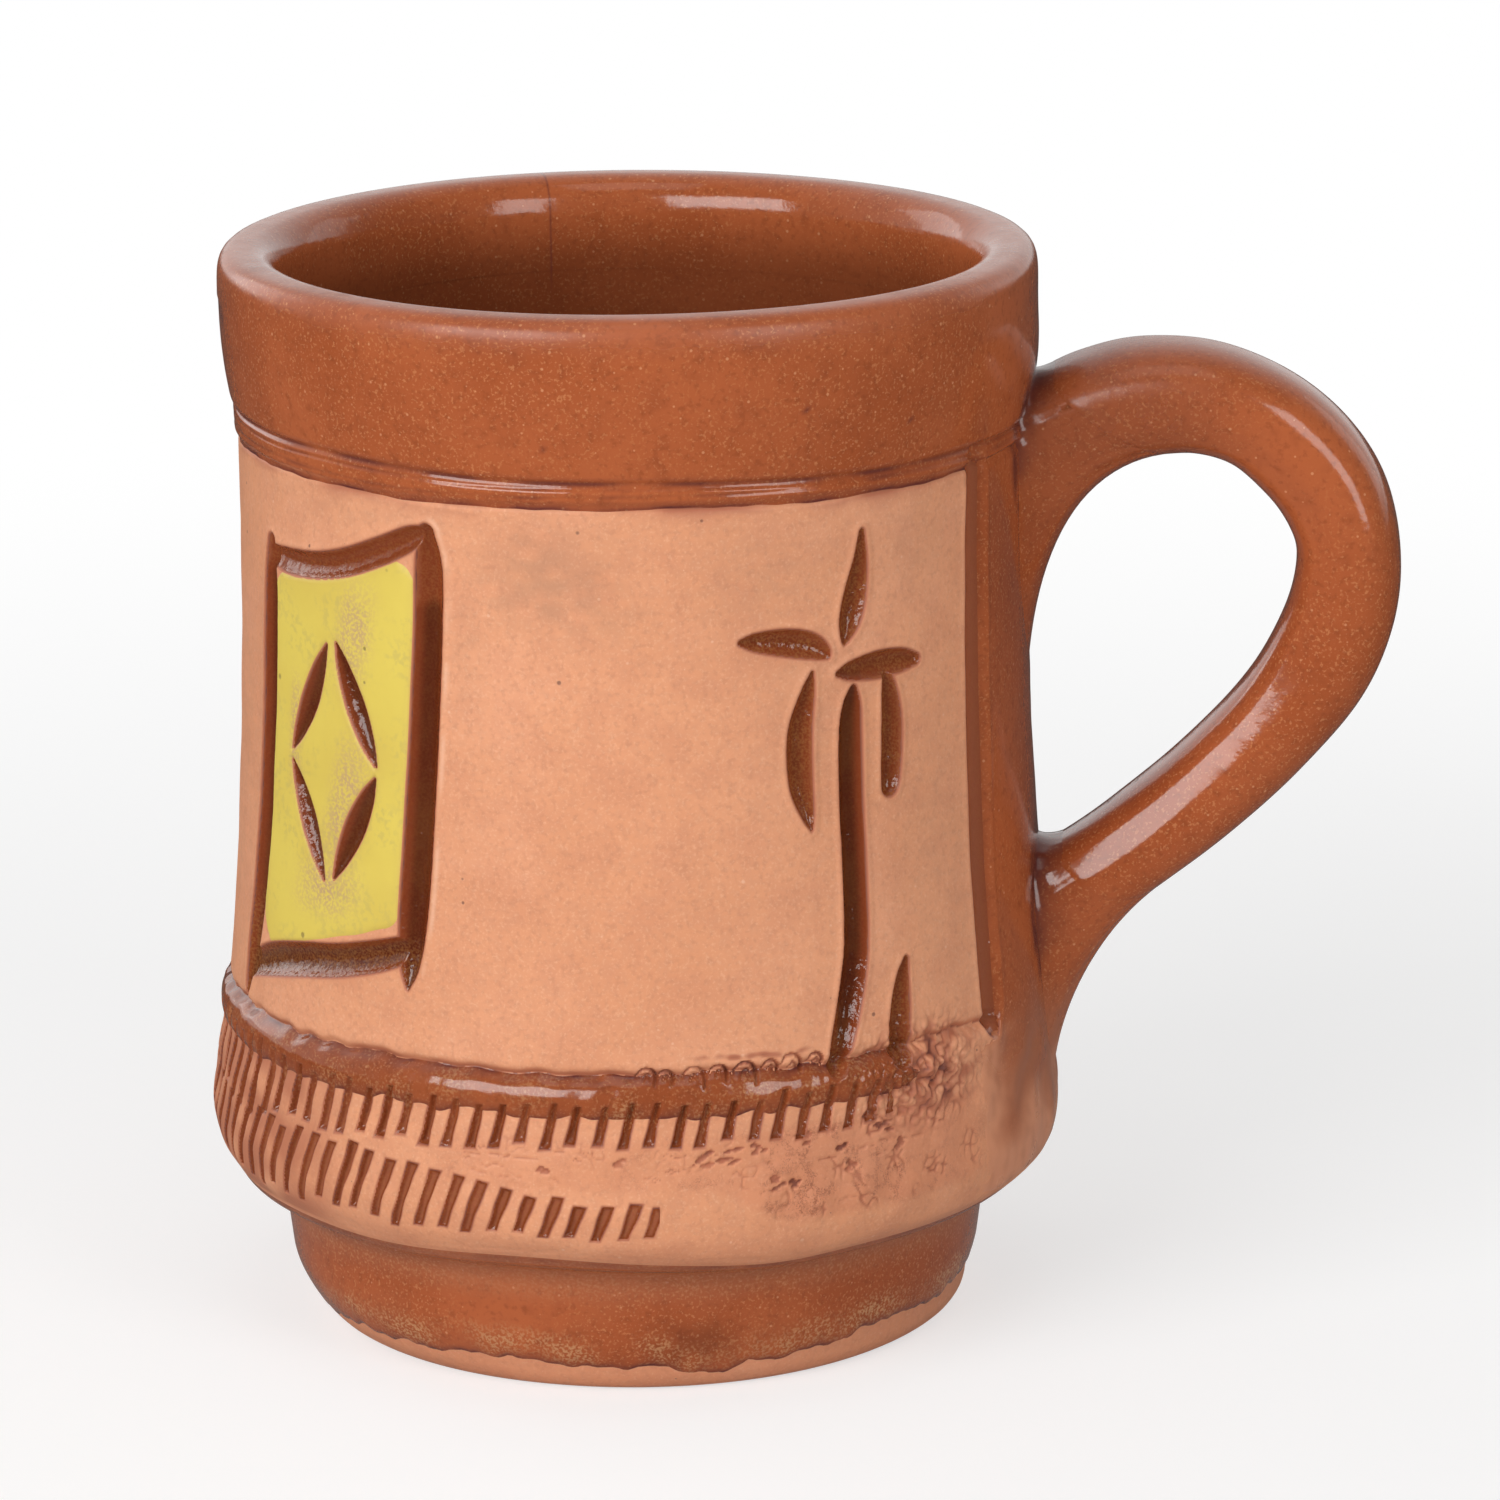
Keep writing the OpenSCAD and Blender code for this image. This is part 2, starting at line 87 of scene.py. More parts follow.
def turned_radius(z):
    swell = 1 - np.clip((widest_z - z) / (widest_z - belly_edge_z), 0, 1) ** 2
    belly = belly_edge_r + (widest_r - belly_edge_r) * np.sqrt(swell)
    band = widest_r + (band_top_r - widest_r) * (z - widest_z) / (band_top_z - widest_z)
    roll = (z - band_top_z) / (shoulder_z - band_top_z)
    swelling = shoulder_swell * np.sin(math.pi * np.clip(roll, 0, 1))
    shoulder = band_top_r + (shoulder_r - band_top_r) * roll + swelling
    up = (z - shoulder_z) / (bead_z - shoulder_z)
    wall = wall_low_r + (wall_top_r - wall_low_r) * up - 4 * waist_sag * up * (1 - up)
    bead = wall_top_r + bead_stand + 0 * z
    rim_up = np.clip((z - rim_z) / (lip_low_z - rim_z), 0, 1)
    rim = rim_low_r + (rim_r - rim_low_r) * np.sin(rim_up * math.pi / 2)
    steps = [z < widest_z, z < band_top_z, z < shoulder_z, z < bead_z, z < rim_z]
    return np.select(steps, [belly, band, shoulder, wall, bead], rim)


profile_step, soft_by, soft_steps = 0.05, 0.28, 20
profile_z = np.arange(belly_edge_z, lip_low_z + 0.8 * profile_step, profile_step)
softening = np.exp(-0.5 * (np.arange(-soft_steps, soft_steps + 1) * profile_step / soft_by) ** 2)
sharp_r = np.pad(turned_radius(profile_z), soft_steps, mode="edge")
profile_r = np.convolve(sharp_r, softening / softening.sum(), "valid")


def sway(turn, z):
    """The slow unevenness of a mug thrown by hand."""
    a = np.radians(turn)
    up = z / lip_z
    foot_lean = 0.7 * (1 - np.sin(a)) * eased(z / 6) * eased((17 - z) / 3)
    foot_lean = foot_lean + 0.5 * hump(turn, -50, 22) * eased(z / 3) * eased((10 - z) / 4)
    belly_lean = -0.55 * np.sin(a) * hump(z, 23, 7)
    rim_lean = -0.5 * hump(turn, 88, 40) * eased((z - 95) / 8)
    oval = 0.16 * np.sin(2 * a + 0.7) * up
    waves = 0.1 * np.sin(3 * a + 2.1 + 2 * up) + 0.06 * np.sin(5 * a + 4 * up)
    return oval + waves + foot_lean + belly_lean + rim_lean


def upper_line_z(turn):
    return rim_z + 0.1 - 0.85 * np.sin(np.radians(turn)) + 0.12 * np.sin(np.radians(7 * turn) + 1)


def lower_line_z(turn):
    return bead_z + 0.1 + 0.45 * np.cos(np.radians(turn + 20)) + 0.1 * np.sin(np.radians(6 * turn) + 2)


def upper_fine_z(turn):
    """A fine line that the tool left just below the upper scored line."""
    return upper_line_z(turn) - 0.62 + 0.2 * np.sin(np.radians(2 * turn) + 1)


def lower_fine_z(turn):
    """A fine line just above the lower scored line."""
    return lower_line_z(turn) + 0.95 + 0.2 * np.sin(np.radians(3 * turn))


def crease_z(turn):
    waves = 0.14 * np.sin(np.radians(9 * turn) + 0.5) + 0.2 * lumps(17, turn, 0 * turn, 4)
    return shoulder_z - 0.1 + 0.75 * np.cos(np.radians(turn)) + waves


def scored(z, line_z, width, depth):
    return -depth * hump(z, line_z, width)


# Each gouge stroke: its places as turn, height and width there, and its greatest depth.
frame_strokes = [
    ([(-30.3, 85.9, 1.8), (-29.9, 82.5, 2.8), (-30.2, 76, 2.9), (-31.0, 66, 3.0), (-31.9, 56, 3.1),
      (-32.7, 48, 3.0), (-33.1, 44, 2.2), (-33.3, 41.6, 0.5)], 1.45),
    ([(-64.4, 81.4, 1.6), (-65.0, 76, 2.9), (-65.6, 66, 3.0), (-66.4, 56, 3.1), (-67.6, 47, 3.2),
      (-69.3, 41, 3.0), (-70.8, 37.0, 1.6), (-71.4, 34.9, 0.4)], 1.4),
    ([(-64.8, 80.4, 1.6), (-60, 80.2, 2.3), (-52, 80.7, 2.4), (-45, 81.8, 2.5), (-38, 83.6, 2.5),
      (-33, 85.2, 2.2), (-30.4, 86.0, 1.2)], 1.2),
    ([(-70.2, 37.6, 0.8), (-67.6, 38.9, 2.2), (-62, 40.3, 3.0), (-54, 41.6, 3.1), (-46, 42.7, 3.0),
      (-38, 44.2, 2.8), (-33.5, 45.4, 2.2), (-31.8, 46.0, 1.0)], 1.3)]
lozenge_depth = 1.2
lozenge_strokes = [(places, lozenge_depth) for places in (
    [(-47.2, 73.6, 0.3), (-45.6, 71.2, 1.7), (-43.4, 67.9, 2.4), (-41.2, 64.8, 1.7), (-39.4, 62.5, 0.3)],
    [(-39.6, 61.2, 0.3), (-41.2, 59.0, 1.7), (-43.4, 56.0, 2.4), (-45.6, 53.0, 1.7), (-47.4, 50.6, 0.3)],
    [(-49.6, 50.2, 0.3), (-51.4, 52.7, 1.7), (-53.6, 55.7, 2.4), (-55.8, 58.6, 1.7), (-57.6, 60.8, 0.3)],
    [(-57.6, 62.1, 0.3), (-55.8, 64.3, 1.7), (-53.4, 67.4, 2.4), (-51.2, 70.6, 1.7), (-49.4, 73.2, 0.3)])]
palm_strokes = [
    ([(33.9, 85.3, 0.6), (33.7, 82.6, 1.5), (32.9, 79.8, 2.3), (32.0, 77.3, 2.4), (31.2, 75.6, 1.3),
      (30.8, 74.8, 0.4)], 1.2),
    ([(15.0, 75.9, 0.6), (17.6, 75.8, 1.8), (21.8, 75.5, 2.5), (25.2, 75.0, 2.4), (27.3, 74.3, 1.5),
      (28.2, 73.7, 0.4)], 1.15),
    ([(29.8, 71.9, 0.6), (32.2, 72.0, 1.8), (36.4, 72.1, 2.5), (40.6, 72.1, 2.2), (43.6, 71.9, 1.1)], 1.15),
    ([(25.6, 72.3, 0.4), (24.9, 70.4, 1.4), (23.8, 67.4, 2.3), (23.5, 64.8, 2.5), (23.7, 61.5, 2.3),
      (24.5, 58.9, 1.4), (25.1, 57.2, 0.3)], 1.3),
    ([(38.0, 71.6, 0.5), (38.5, 69.8, 1.6), (38.9, 66.8, 2.3), (38.8, 63.5, 2.4), (38.5, 61.0, 2.2),
      (38.3, 60.1, 1.9)], 1.3),
    ([(32.3, 70.2, 0.8), (32.0, 68.6, 1.9), (31.7, 66, 2.4), (31.6, 60, 2.5), (31.8, 52, 2.5),
      (31.6, 45.6, 2.6), (31.0, 42.5, 2.7), (30.0, 39.4, 2.6), (28.6, 36.0, 2.3), (27.6, 33.9, 1.8)], 1.5),
    ([(40.0, 42.9, 0.7), (39.3, 41.3, 1.5), (38.7, 38.9, 2.2), (38.2, 36.2, 2.5), (38.2, 34.2, 2.3),
      (38.3, 33.2, 1.6)], 1.2)]
groove_turn = 57.5
groove_strokes = [
    ([(turn, 33.4, 1.6), (turn, 36, 3.0), (turn - 0.4, 50, 3.4), (turn, 70, 3.5), (turn + 0.3, 88, 3.2),
      (turn + 0.3, 90, 1.6)], 1.1)
    for turn in (groove_turn, 2 * handle_turn - groove_turn)]


gouge_spread, least_half_w = 1.1, 0.08


def smooth_line(knots, steps):
    """A smooth line through all the knots, with this many steps from each to the next."""
    ends = np.vstack([2 * knots[0] - knots[1], knots, 2 * knots[-1] - knots[-2]])
    line = []
    for a, b, c, d in zip(ends[:-3], ends[1:-2], ends[2:-1], ends[3:]):
        for t in np.arange(0, 1, 1 / steps):
            line.append(0.5 * (2 * b + (c - a) * t + (2 * a - 5 * b + 4 * c - d) * t ** 2
                               + (3 * b - a - 3 * c + d) * t ** 3))
    return np.array(line + [knots[-1]])


def stroke_line(places):
    """A stroke's places as a smooth line: millimetres around, millimetres up, and half the width there."""
    knots = np.array(places, float)
    knots[:, 0] = np.radians(knots[:, 0]) * np.interp(knots[:, 1], profile_z, profile_r)
    knots[:, 2] = knots[:, 2] / 2 * gouge_spread
    line = smooth_line(knots, 8)
    line[:, 2] = np.maximum(line[:, 2], least_half_w)
    return line


far_out = 9.0
look_around = 4
narrow_power, round_power = 0.6, 0.85


def gouged(turn, z, strokes):
    """How far inside the strokes each place lies: 1 on a stroke's middle, 0 on its edge.
    Also the depth of the cut there, and the distance outside the nearest edge."""
    around = np.radians(turn) * np.interp(z, profile_z, profile_r)
    inside = np.full(turn.shape, -far_out)
    depth = np.zeros(turn.shape)
    outside_by = np.full(turn.shape, far_out)
    for places, deep in strokes:
        line = stroke_line(places)
        low = line.min(axis=0) - look_around
        high = line.max(axis=0) + look_around
        near = (around > low[0]) & (around < high[0]) & (z > low[1]) & (z < high[1])
        if not near.any():
            continue
        at = np.stack([around[near], z[near]], axis=1)
        mine = np.full(len(at), -far_out)
        off = np.full(len(at), far_out)
        half = np.full(len(at), least_half_w)
        for start, end in zip(line[:-1], line[1:]):
            step = end[:2] - start[:2]
            t = np.clip((at - start[:2]) @ step / (step @ step), 0, 1)
            gap = np.linalg.norm(at - start[:2] - t[:, None] * step, axis=1)
            here = start[2] + t * (end[2] - start[2])
            off = np.minimum(off, gap - here)
            better = 1 - (gap / here) ** 2 > mine
            mine = np.where(better, 1 - (gap / here) ** 2, mine)
            half = np.where(better, here, half)
        cut = deep * (half / line[:, 2].max()) ** narrow_power * np.clip(mine, 0, 1) ** round_power
        inside[near] = np.maximum(inside[near], mine)
        depth[near] = np.maximum(depth[near], cut)
        outside_by[near] = np.minimum(outside_by[near], off)
    return inside, depth, outside_by


wall_strokes = frame_strokes + lozenge_strokes + palm_strokes + groove_strokes
notches_in_turn = 105
band_mid_r, notch_side_w = 41.5, 0.5
notch_pick = np.random.default_rng(5)
notch_shift = notch_pick.uniform(-0.2, 0.2, 2 * notches_in_turn)
notch_rise = notch_pick.uniform(-0.3, 0.3, 2 * notches_in_turn)
notch_press = notch_pick.uniform(0.7, 1.15, 2 * notches_in_turn)
notch_stretch = notch_pick.uniform(0.84, 1.12, 2 * notches_in_turn)
# Each row of notches: its first and last turn, then its middle height, half its length and half its width
# at turns round the mug, how much wider a notch is at its top, its lean and its depth.
row_turns = (112, 250, 292, 318, 335, 349, 361, 375, 400)
notch_rows = [
    ((132, 398), (29.4, 29.4, 28.6, 29.2, 29.5, 29.9, 30.0, 30.0, 30.2),
     (2.2, 2.2, 3.9, 2.6, 2.3, 2.1, 2.2, 2.2, 2.3),
     (0.5, 0.5, 0.62, 0.5, 0.48, 0.45, 0.45, 0.48, 0.55), -0.06, 13, 0.85),
    ((132, 364), (22.6, 22.6, 21.6, 22.1, 21.6, 20.6, 20.3, 20.3, 20.3),
     (3.2, 3.2, 3.9, 3.4, 2.9, 1.95, 1.65, 1.3, 1.3),
     (0.5, 0.5, 0.56, 0.52, 0.52, 0.54, 0.54, 0.5, 0.5), 0.08, 19, 0.7)]


def notched(turn, z):
    """How many millimetres inside a notch each place lies, and the depth of the cut there."""
    inside = np.full(turn.shape, -far_out)
    depth = np.zeros(turn.shape)
    lap = np.mod(turn - row_turns[0], 360) + row_turns[0]
    pitch = 360 / notches_in_turn
    for row, ((first, last), mids, half_ls, half_ws, wider, lean, deep) in enumerate(notch_rows):
        mid_z = np.interp(lap, row_turns, mids)
        half_l = np.interp(lap, row_turns, half_ls)
        half_w = np.interp(lap, row_turns, half_ws)
        leaning = np.degrees((z - mid_z) * math.tan(math.radians(lean)) / band_mid_r)
        place = (lap - leaning - first) / pitch
        number = np.round(place).astype(int)
        kept = (number >= 0) & (number * pitch <= last - first)
        pick = row * notches_in_turn + np.clip(number, 0, notches_in_turn - 1)
        off = np.radians((place - number) * pitch) * band_mid_r - notch_shift[pick]
        up = z - mid_z - notch_rise[pick]
        half_w = half_w + wider * up / half_l + 0.03 * np.sin(2.1 * up + 9 * notch_shift[pick])
        mine = np.minimum(half_w - np.abs(off), half_l * notch_stretch[pick] - np.abs(up))
        mine = np.where(kept, mine, -far_out)
        fading = eased((last + 3 - lap) / 14)
        inside = np.maximum(inside, np.where(fading > 0.25, mine, -far_out))
        rounded = np.sin(np.clip(mine / notch_side_w, 0, 1) * math.pi / 2)
        depth = np.maximum(depth, deep * notch_press[pick] * fading * rounded)
    return inside, depth


# Curls of clay that the wheel's edge pushed up above the crease, each with two cuts, whose places are
# shares of its size. Then the scratches and dents between the rows of notches, the rough place beside
# the handle, and the curled cracks on the belly.
curls = [(0.8, 34.5, 0.9), (3.4, 34.4, 0.7), (7.2, 34.3, 1.05), (10.6, 34.6, 0.8), (14.2, 34.4, 1.1),
         (17.8, 34.7, 0.75), (20.8, 34.8, 1.0), (24.4, 34.9, 0.7)]
curl_stand, crease_mm_per_degree = 0.22, 0.71
curl_cuts = [
    ([(-1.5, 0.1, 0.12), (-0.7, 0.9, 0.26), (0.6, 0.95, 0.34), (1.5, 0.2, 0.42), (1.3, -0.7, 0.3)], 0.5),
    ([(-0.6, -0.3, 0.1), (0.2, 0.3, 0.3), (0.8, -0.2, 0.2)], 0.35)]
curl_strokes = [
    ([(turn + across * size, z + up * size, width) for across, up, width in shares], deep)
    for turn, z, size in curls for shares, deep in curl_cuts]
scratch_pick = np.random.default_rng(12)
scratch_count, scratch_depth = 40, 0.14
scratch_strokes = []
for _ in range(scratch_count):
    turn = scratch_pick.uniform(-24, 42)
    z = scratch_pick.uniform(24.6, 27.6) if turn < 6 else scratch_pick.uniform(21, 28.2)
    reach = scratch_pick.uniform(0.5, 2.4)
    rise = scratch_pick.uniform(-0.3, 0.3)
    width = scratch_pick.uniform(0.12, 0.24)
    scratch_strokes.append(([(turn, z, 0.1), (turn + 0.4 * reach, z + rise, width),
                             (turn + 0.9 * reach, z - 0.3 * rise, width),
                             (turn + 1.5 * reach, z + 0.5 * rise, 0.1)], scratch_depth))
dented_places = [
    (7.4, 26.5, 1.5), (11.0, 26.5, 1.7), (15.3, 27.1, 1.0), (21.5, 27.4, 1.1), (-3.0, 26.4, 0.7),
    (17.5, 23.6, 1.3), (20.5, 23.2, 1.1), (28.5, 24.3, 0.9), (36.5, 25.4, 1.0), (-13, 25.7, 0.9),
    (27.5, 26.0, 0.8), (31.5, 29.2, 1.2), (34.0, 27.6, 1.6), (37.0, 28.4, 1.0)]
dent_cuts, dent_depth, dent_end_w = 5, 0.3, 0.12
dents = []
for at_turn, at_z, reach in dented_places:
    for _ in range(dent_cuts):
        turn = at_turn + scratch_pick.uniform(-0.9, 0.7) * reach
        z = at_z + scratch_pick.uniform(-0.45, 0.45) * reach
        width = scratch_pick.uniform(0.25, 0.6)
        slant = scratch_pick.uniform(-0.4, 0.5)
        dents.append(([(turn, z, dent_end_w), (turn + 0.5 * reach, z + 0.5 * slant, width),
                       (turn + reach, z + slant, dent_end_w)], dent_depth))
deep_band_strokes = curl_strokes + dents
band_strokes = deep_band_strokes + scratch_strokes
rough_turn, rough_z = 41.5, 31.6


def roughness_there(turn, z):
    return hump(turn, rough_turn, 10) * hump(z, rough_z, 4.2)


def cracked(turn, z):
    return hump(lumps(11, turn, z, 1.7), 0, 0.33)


def crazed_there(turn, z):
    lowest = 23 - 4 * eased((turn - 6) / 16)
    crazed = eased((z - lowest) / 1.5) * eased((29.5 - z) / 1.5)
    crazed = crazed * eased((turn + 34) / 14) * eased((58 - turn) / 10)
    return crazed * (0.5 + 0.5 * eased((turn - 6) / 16))


def squiggles(turn, z):
    """Short curled cracks in clusters on the belly."""
    return cracked(turn, z) * eased((lumps(82, turn, z, 4.5) - 0.3) / 0.3) * crazed_there(turn, z)


smear_low_z, smear_top_z, smear_half_turn = 26, 44, 27
crease_w, crease_depth, crease_stop_turn = 0.5, 0.55, 24
line_w, fine_line_w = 0.42, 0.2
marked_below_z = 37


def outside(turn, z):
    """Radius of the clay's outside from the belly's edge up to the lip."""
    r = np.interp(z, profile_z, profile_r)
    under_handle = eased((smear_half_turn - np.abs(turn - handle_turn)) / 3)
    slope_ends = np.interp((smear_low_z, smear_top_z), profile_z, profile_r)
    slope = np.interp(z, (smear_low_z, smear_top_z), slope_ends)
    smoothed = np.where((z > smear_low_z) & (z < smear_top_z), slope, r)
    r = r + under_handle * (smoothed - r) + sway(turn, z)
    r = r + 0.045 * lumps(3, turn, z, 13) + 0.006 * lumps(4, turn, z, 3)
    r = r + 0.1 * lumps(6, turn, z, 6) * eased((32 - z) / 3) * eased((z - 16) / 3)
    r = r + scored(z, upper_line_z(turn), line_w, 0.42)
    r = r + scored(z, lower_line_z(turn), line_w, 0.4)
    r = r + scored(z, lower_fine_z(turn), fine_line_w, 0.12)
    r = r + scored(z, upper_fine_z(turn), fine_line_w, 0.14)
    creased = eased((np.abs(turn - handle_turn) - crease_stop_turn) / 4)
    r = r + scored(z, crease_z(turn), crease_w, crease_depth) * creased
    if z.min() < marked_below_z:
        r = r - notched(turn, z)[1]
        rough = roughness_there(turn, z)
        crumbs = 0.2 * lumps(8, turn, z, 2.4) + 0.14 * lumps(9, turn, z, 1.3) + 0.12 * lumps(10, turn, z, 0.8)
        r = r + rough * (crumbs - 0.3 * cracked(turn, z)) - 0.13 * squiggles(turn, z)
        for at_turn, at_z, size in curls:
            apart = np.hypot((turn - at_turn) * crease_mm_per_degree, z - at_z) / size
            r = r + curl_stand * np.exp(-apart ** 2)
        r = r - gouged(turn, z, band_strokes)[1]
    depth, off_edge = gouged(turn, z, wall_strokes)[1:]
    burr = 0.1 * hump(off_edge, 0.25, 0.35)
    return r - depth + np.where(off_edge > -0.15, burr, 0)


lip_dip, still_r = 0.25, 20


def around_points(turn, r, z):
    """Points in the mug's frame. The lip dips a little towards the back, and the belly's edge wavers."""
    a = np.radians(turn - handle_turn)
    dip = lip_dip * (1 - np.cos(np.radians(turn))) * eased((z - 96) / 8)
    edge_rise = 0.85 * hump(turn, -16, 17) - 0.45 * hump(turn, 19, 10) + 0.5 * hump(turn, -58, 18)
    rise = edge_rise * hump(z, belly_edge_z, 2.6)
    return np.stack([r * np.cos(a), r * np.sin(a), z - dip + rise + 0 * r], axis=-1) * MM


def curve_points(turns, path):
    """Rings of points for a path of radii and heights, with the mug's sway."""
    turn, r = np.meshgrid(turns, path[:, 0])
    z = np.repeat(path[:, 1:], len(turns), axis=1)
    return around_points(turn, r + sway(turn, z) * np.clip(r / still_r, 0, 1), z)


def arc(middle_r, middle_z, wide, high, start, end, steps, squareness=2.0):
    a = np.radians(np.linspace(start, end, steps + 1))
    across = np.sign(np.cos(a)) * np.abs(np.cos(a)) ** (2 / squareness)
    up = np.sign(np.sin(a)) * np.abs(np.sin(a)) ** (2 / squareness)
    return np.stack([middle_r + wide * across, middle_z + high * up], axis=1)


def line_to(start, end, steps):
    return np.linspace(start, end, steps + 1)[1:]


def smooth_path(path, spacing):
    length = np.r_[0, np.cumsum(np.linalg.norm(np.diff(path, axis=0), axis=1))]
    even = np.linspace(0, length[-1], max(3, int(length[-1] / spacing)))
    return np.stack([np.interp(even, length, path[:, 0]), np.interp(even, length, path[:, 1])], axis=1)


foot_mid, cove_r, foot_spacing, lip_spacing = (33.3, 6.5), 2.4, 0.32, 0.38
undercut = [(38.2, 14.7), (39.1, 15.2), (belly_edge_r, 15.75)]
foot_knots = np.vstack([
    arc(base_r, foot_low_z, foot_low_r - base_r, foot_low_z, -90, 0, 8),
    [foot_mid, (foot_top_r, foot_top_z)],
    arc(foot_top_r + cove_r, foot_top_z, cove_r, cove_z - foot_top_z, 180, 100, 8),
    undercut])
foot_path = smooth_path(foot_knots, foot_spacing)
lip_middle = (rim_r + mouth_r) / 2, lip_low_z
lip_reach = (rim_r - mouth_r) / 2, lip_z - lip_low_z
lip_outer, lip_inner = 4.4, 2.3
lip_knots = np.vstack([
    arc(*lip_middle, *lip_reach, 0, 90, 40, lip_outer),
    arc(*lip_middle, *lip_reach, 90, 180, 40, lip_inner)[1:]])
lip_path = smooth_path(lip_knots, lip_spacing)
inside_waist, floor_middle = (mouth_r - 0.3, 70), (0.6, floor_z + 0.25)
inside_path = np.vstack([
    line_to((mouth_r, lip_low_z), inside_waist, 24),
    line_to(inside_waist, (inside_r, floor_z + floor_round), 30),
    arc(inside_r - floor_round, floor_z + floor_round, floor_round, floor_round, 0, -90, 20)[1:],
    line_to((inside_r - floor_round, floor_z), floor_middle, 12)])


def joined_rings(bands):
    """One closed skin from bands of rings, which may have different numbers of points around."""
    points = np.vstack([band.reshape(-1, 3) for turns, band in bands])
    faces = []
    start = 0
    for k, (turns, band) in enumerate(bands):
        rings, count = band.shape[:2]
        ring = start + np.arange(rings - 1)[:, None] * count
        i = np.arange(count)[None, :]
        j = (i + 1) % count
        quads = np.stack([ring + i, ring + j, ring + count + j, ring + count + i], axis=-1)
        faces += quads.reshape(-1, 4).tolist()
        last = start + (rings - 1) * count
        start += rings * count
        if k + 1 < len(bands):
            above = bands[k + 1][0]
            n, m = count, len(above)
            low = high = 0
            while low < n or high < m:
                low_next = turns[low + 1] if low + 1 < n else turns[0] + 360 if low < n else 1e9
                high_next = above[high + 1] if high + 1 < m else above[0] + 360 if high < m else 1e9
                a = last + low % n
                b = start + high % m
                if low_next <= high_next:
                    faces.append([a, last + (low + 1) % n, b])
                    low += 1
                else:
                    faces.append([a, start + (high + 1) % m, b])
                    high += 1
    return points, faces


def skin(name, points, faces, **marks):
    """A smooth-shaded mesh object that rides on the mug, with marks kept at its points."""
    mesh = bpy.data.meshes.new(name)
    mesh.from_pydata(points.tolist(), [], faces)
    mesh.shade_smooth()
    for mark, values in marks.items():
        layer = mesh.attributes.new(mark, "FLOAT", "POINT")
        layer.data.foreach_set("value", np.ascontiguousarray(values, dtype=np.float32).ravel())
    piece = bpy.data.objects.new(name, mesh)
    bpy.context.collection.objects.link(piece)
    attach(piece, "root")
    return piece


hairline_turn = -166.6
ring_count, inside_count = 420, 240
hairline_steps = np.arange(-0.45, 0.46, 0.15)
ring_turns = np.sort(np.r_[np.arange(-180, 180, 360 / ring_count), hairline_turn + hairline_steps])
inside_turns = np.arange(-180, 180, 360 / inside_count)
band_turns = np.r_[np.arange(-180, -84, 0.42), np.arange(-84, 62, 0.19), np.arange(62.2, 179.8, 0.42)]
wall_turns = np.r_[
    np.arange(-180, -76, 1.25), np.arange(-75.5, -27, 0.2), np.arange(-26.6, 12, 0.7),
    np.arange(12.2, 47, 0.17), np.arange(47.3, 54, 0.5), np.arange(54.2, 61, 0.2),
    np.arange(62, 108, 1.25), np.arange(109, 116, 0.28), np.arange(117, 179.5, 1.25)]
base_path = np.array([[0.6, 0.35], [12, 0.3], [22, 0.2], [28, 0.06]])
band_z = np.arange(belly_edge_z, 37.4, 0.19)
wall_z = np.arange(37.6, 87.4, 0.2)
rim_low = np.arange(87.6, 93.2, 0.14)
rim_high = np.arange(93.5, lip_low_z - 0.1, 0.5)


def outside_band(turns, heights):
    turn, z = np.meshgrid(turns, heights)
    return around_points(turn, outside(turn, z), z), turn, z


body_bands = [(ring_turns, curve_points(ring_turns, np.vstack([base_path, foot_path])))]
body_marks = [np.zeros((4, len(ring_turns) * (len(base_path) + len(foot_path))))]
foot_stain = 0.2
body_marks[0][0] = foot_stain
# Each place where soot lies: its turn and height, its reach around and up, and its strength.
sooty_places = [
    (-12, 82.5, 9, 4.5, 1.0), (-6, 79, 7, 3, 0.5), (-24, 76, 2.5, 6, 0.35), (18, 82, 9, 5, 0.35),
    (24, 66, 5, 8, 0.35), (43, 83, 6, 5, 0.4), (48, 52, 7, 16, 0.3), (-75, 60, 9, 25, 0.25),
    (30, 25, 16, 5, 0.3), (-40, 87, 20, 2, 0.3), (-150, 60, 20, 18, 0.4), (170, 75, 15, 10, 0.35)]


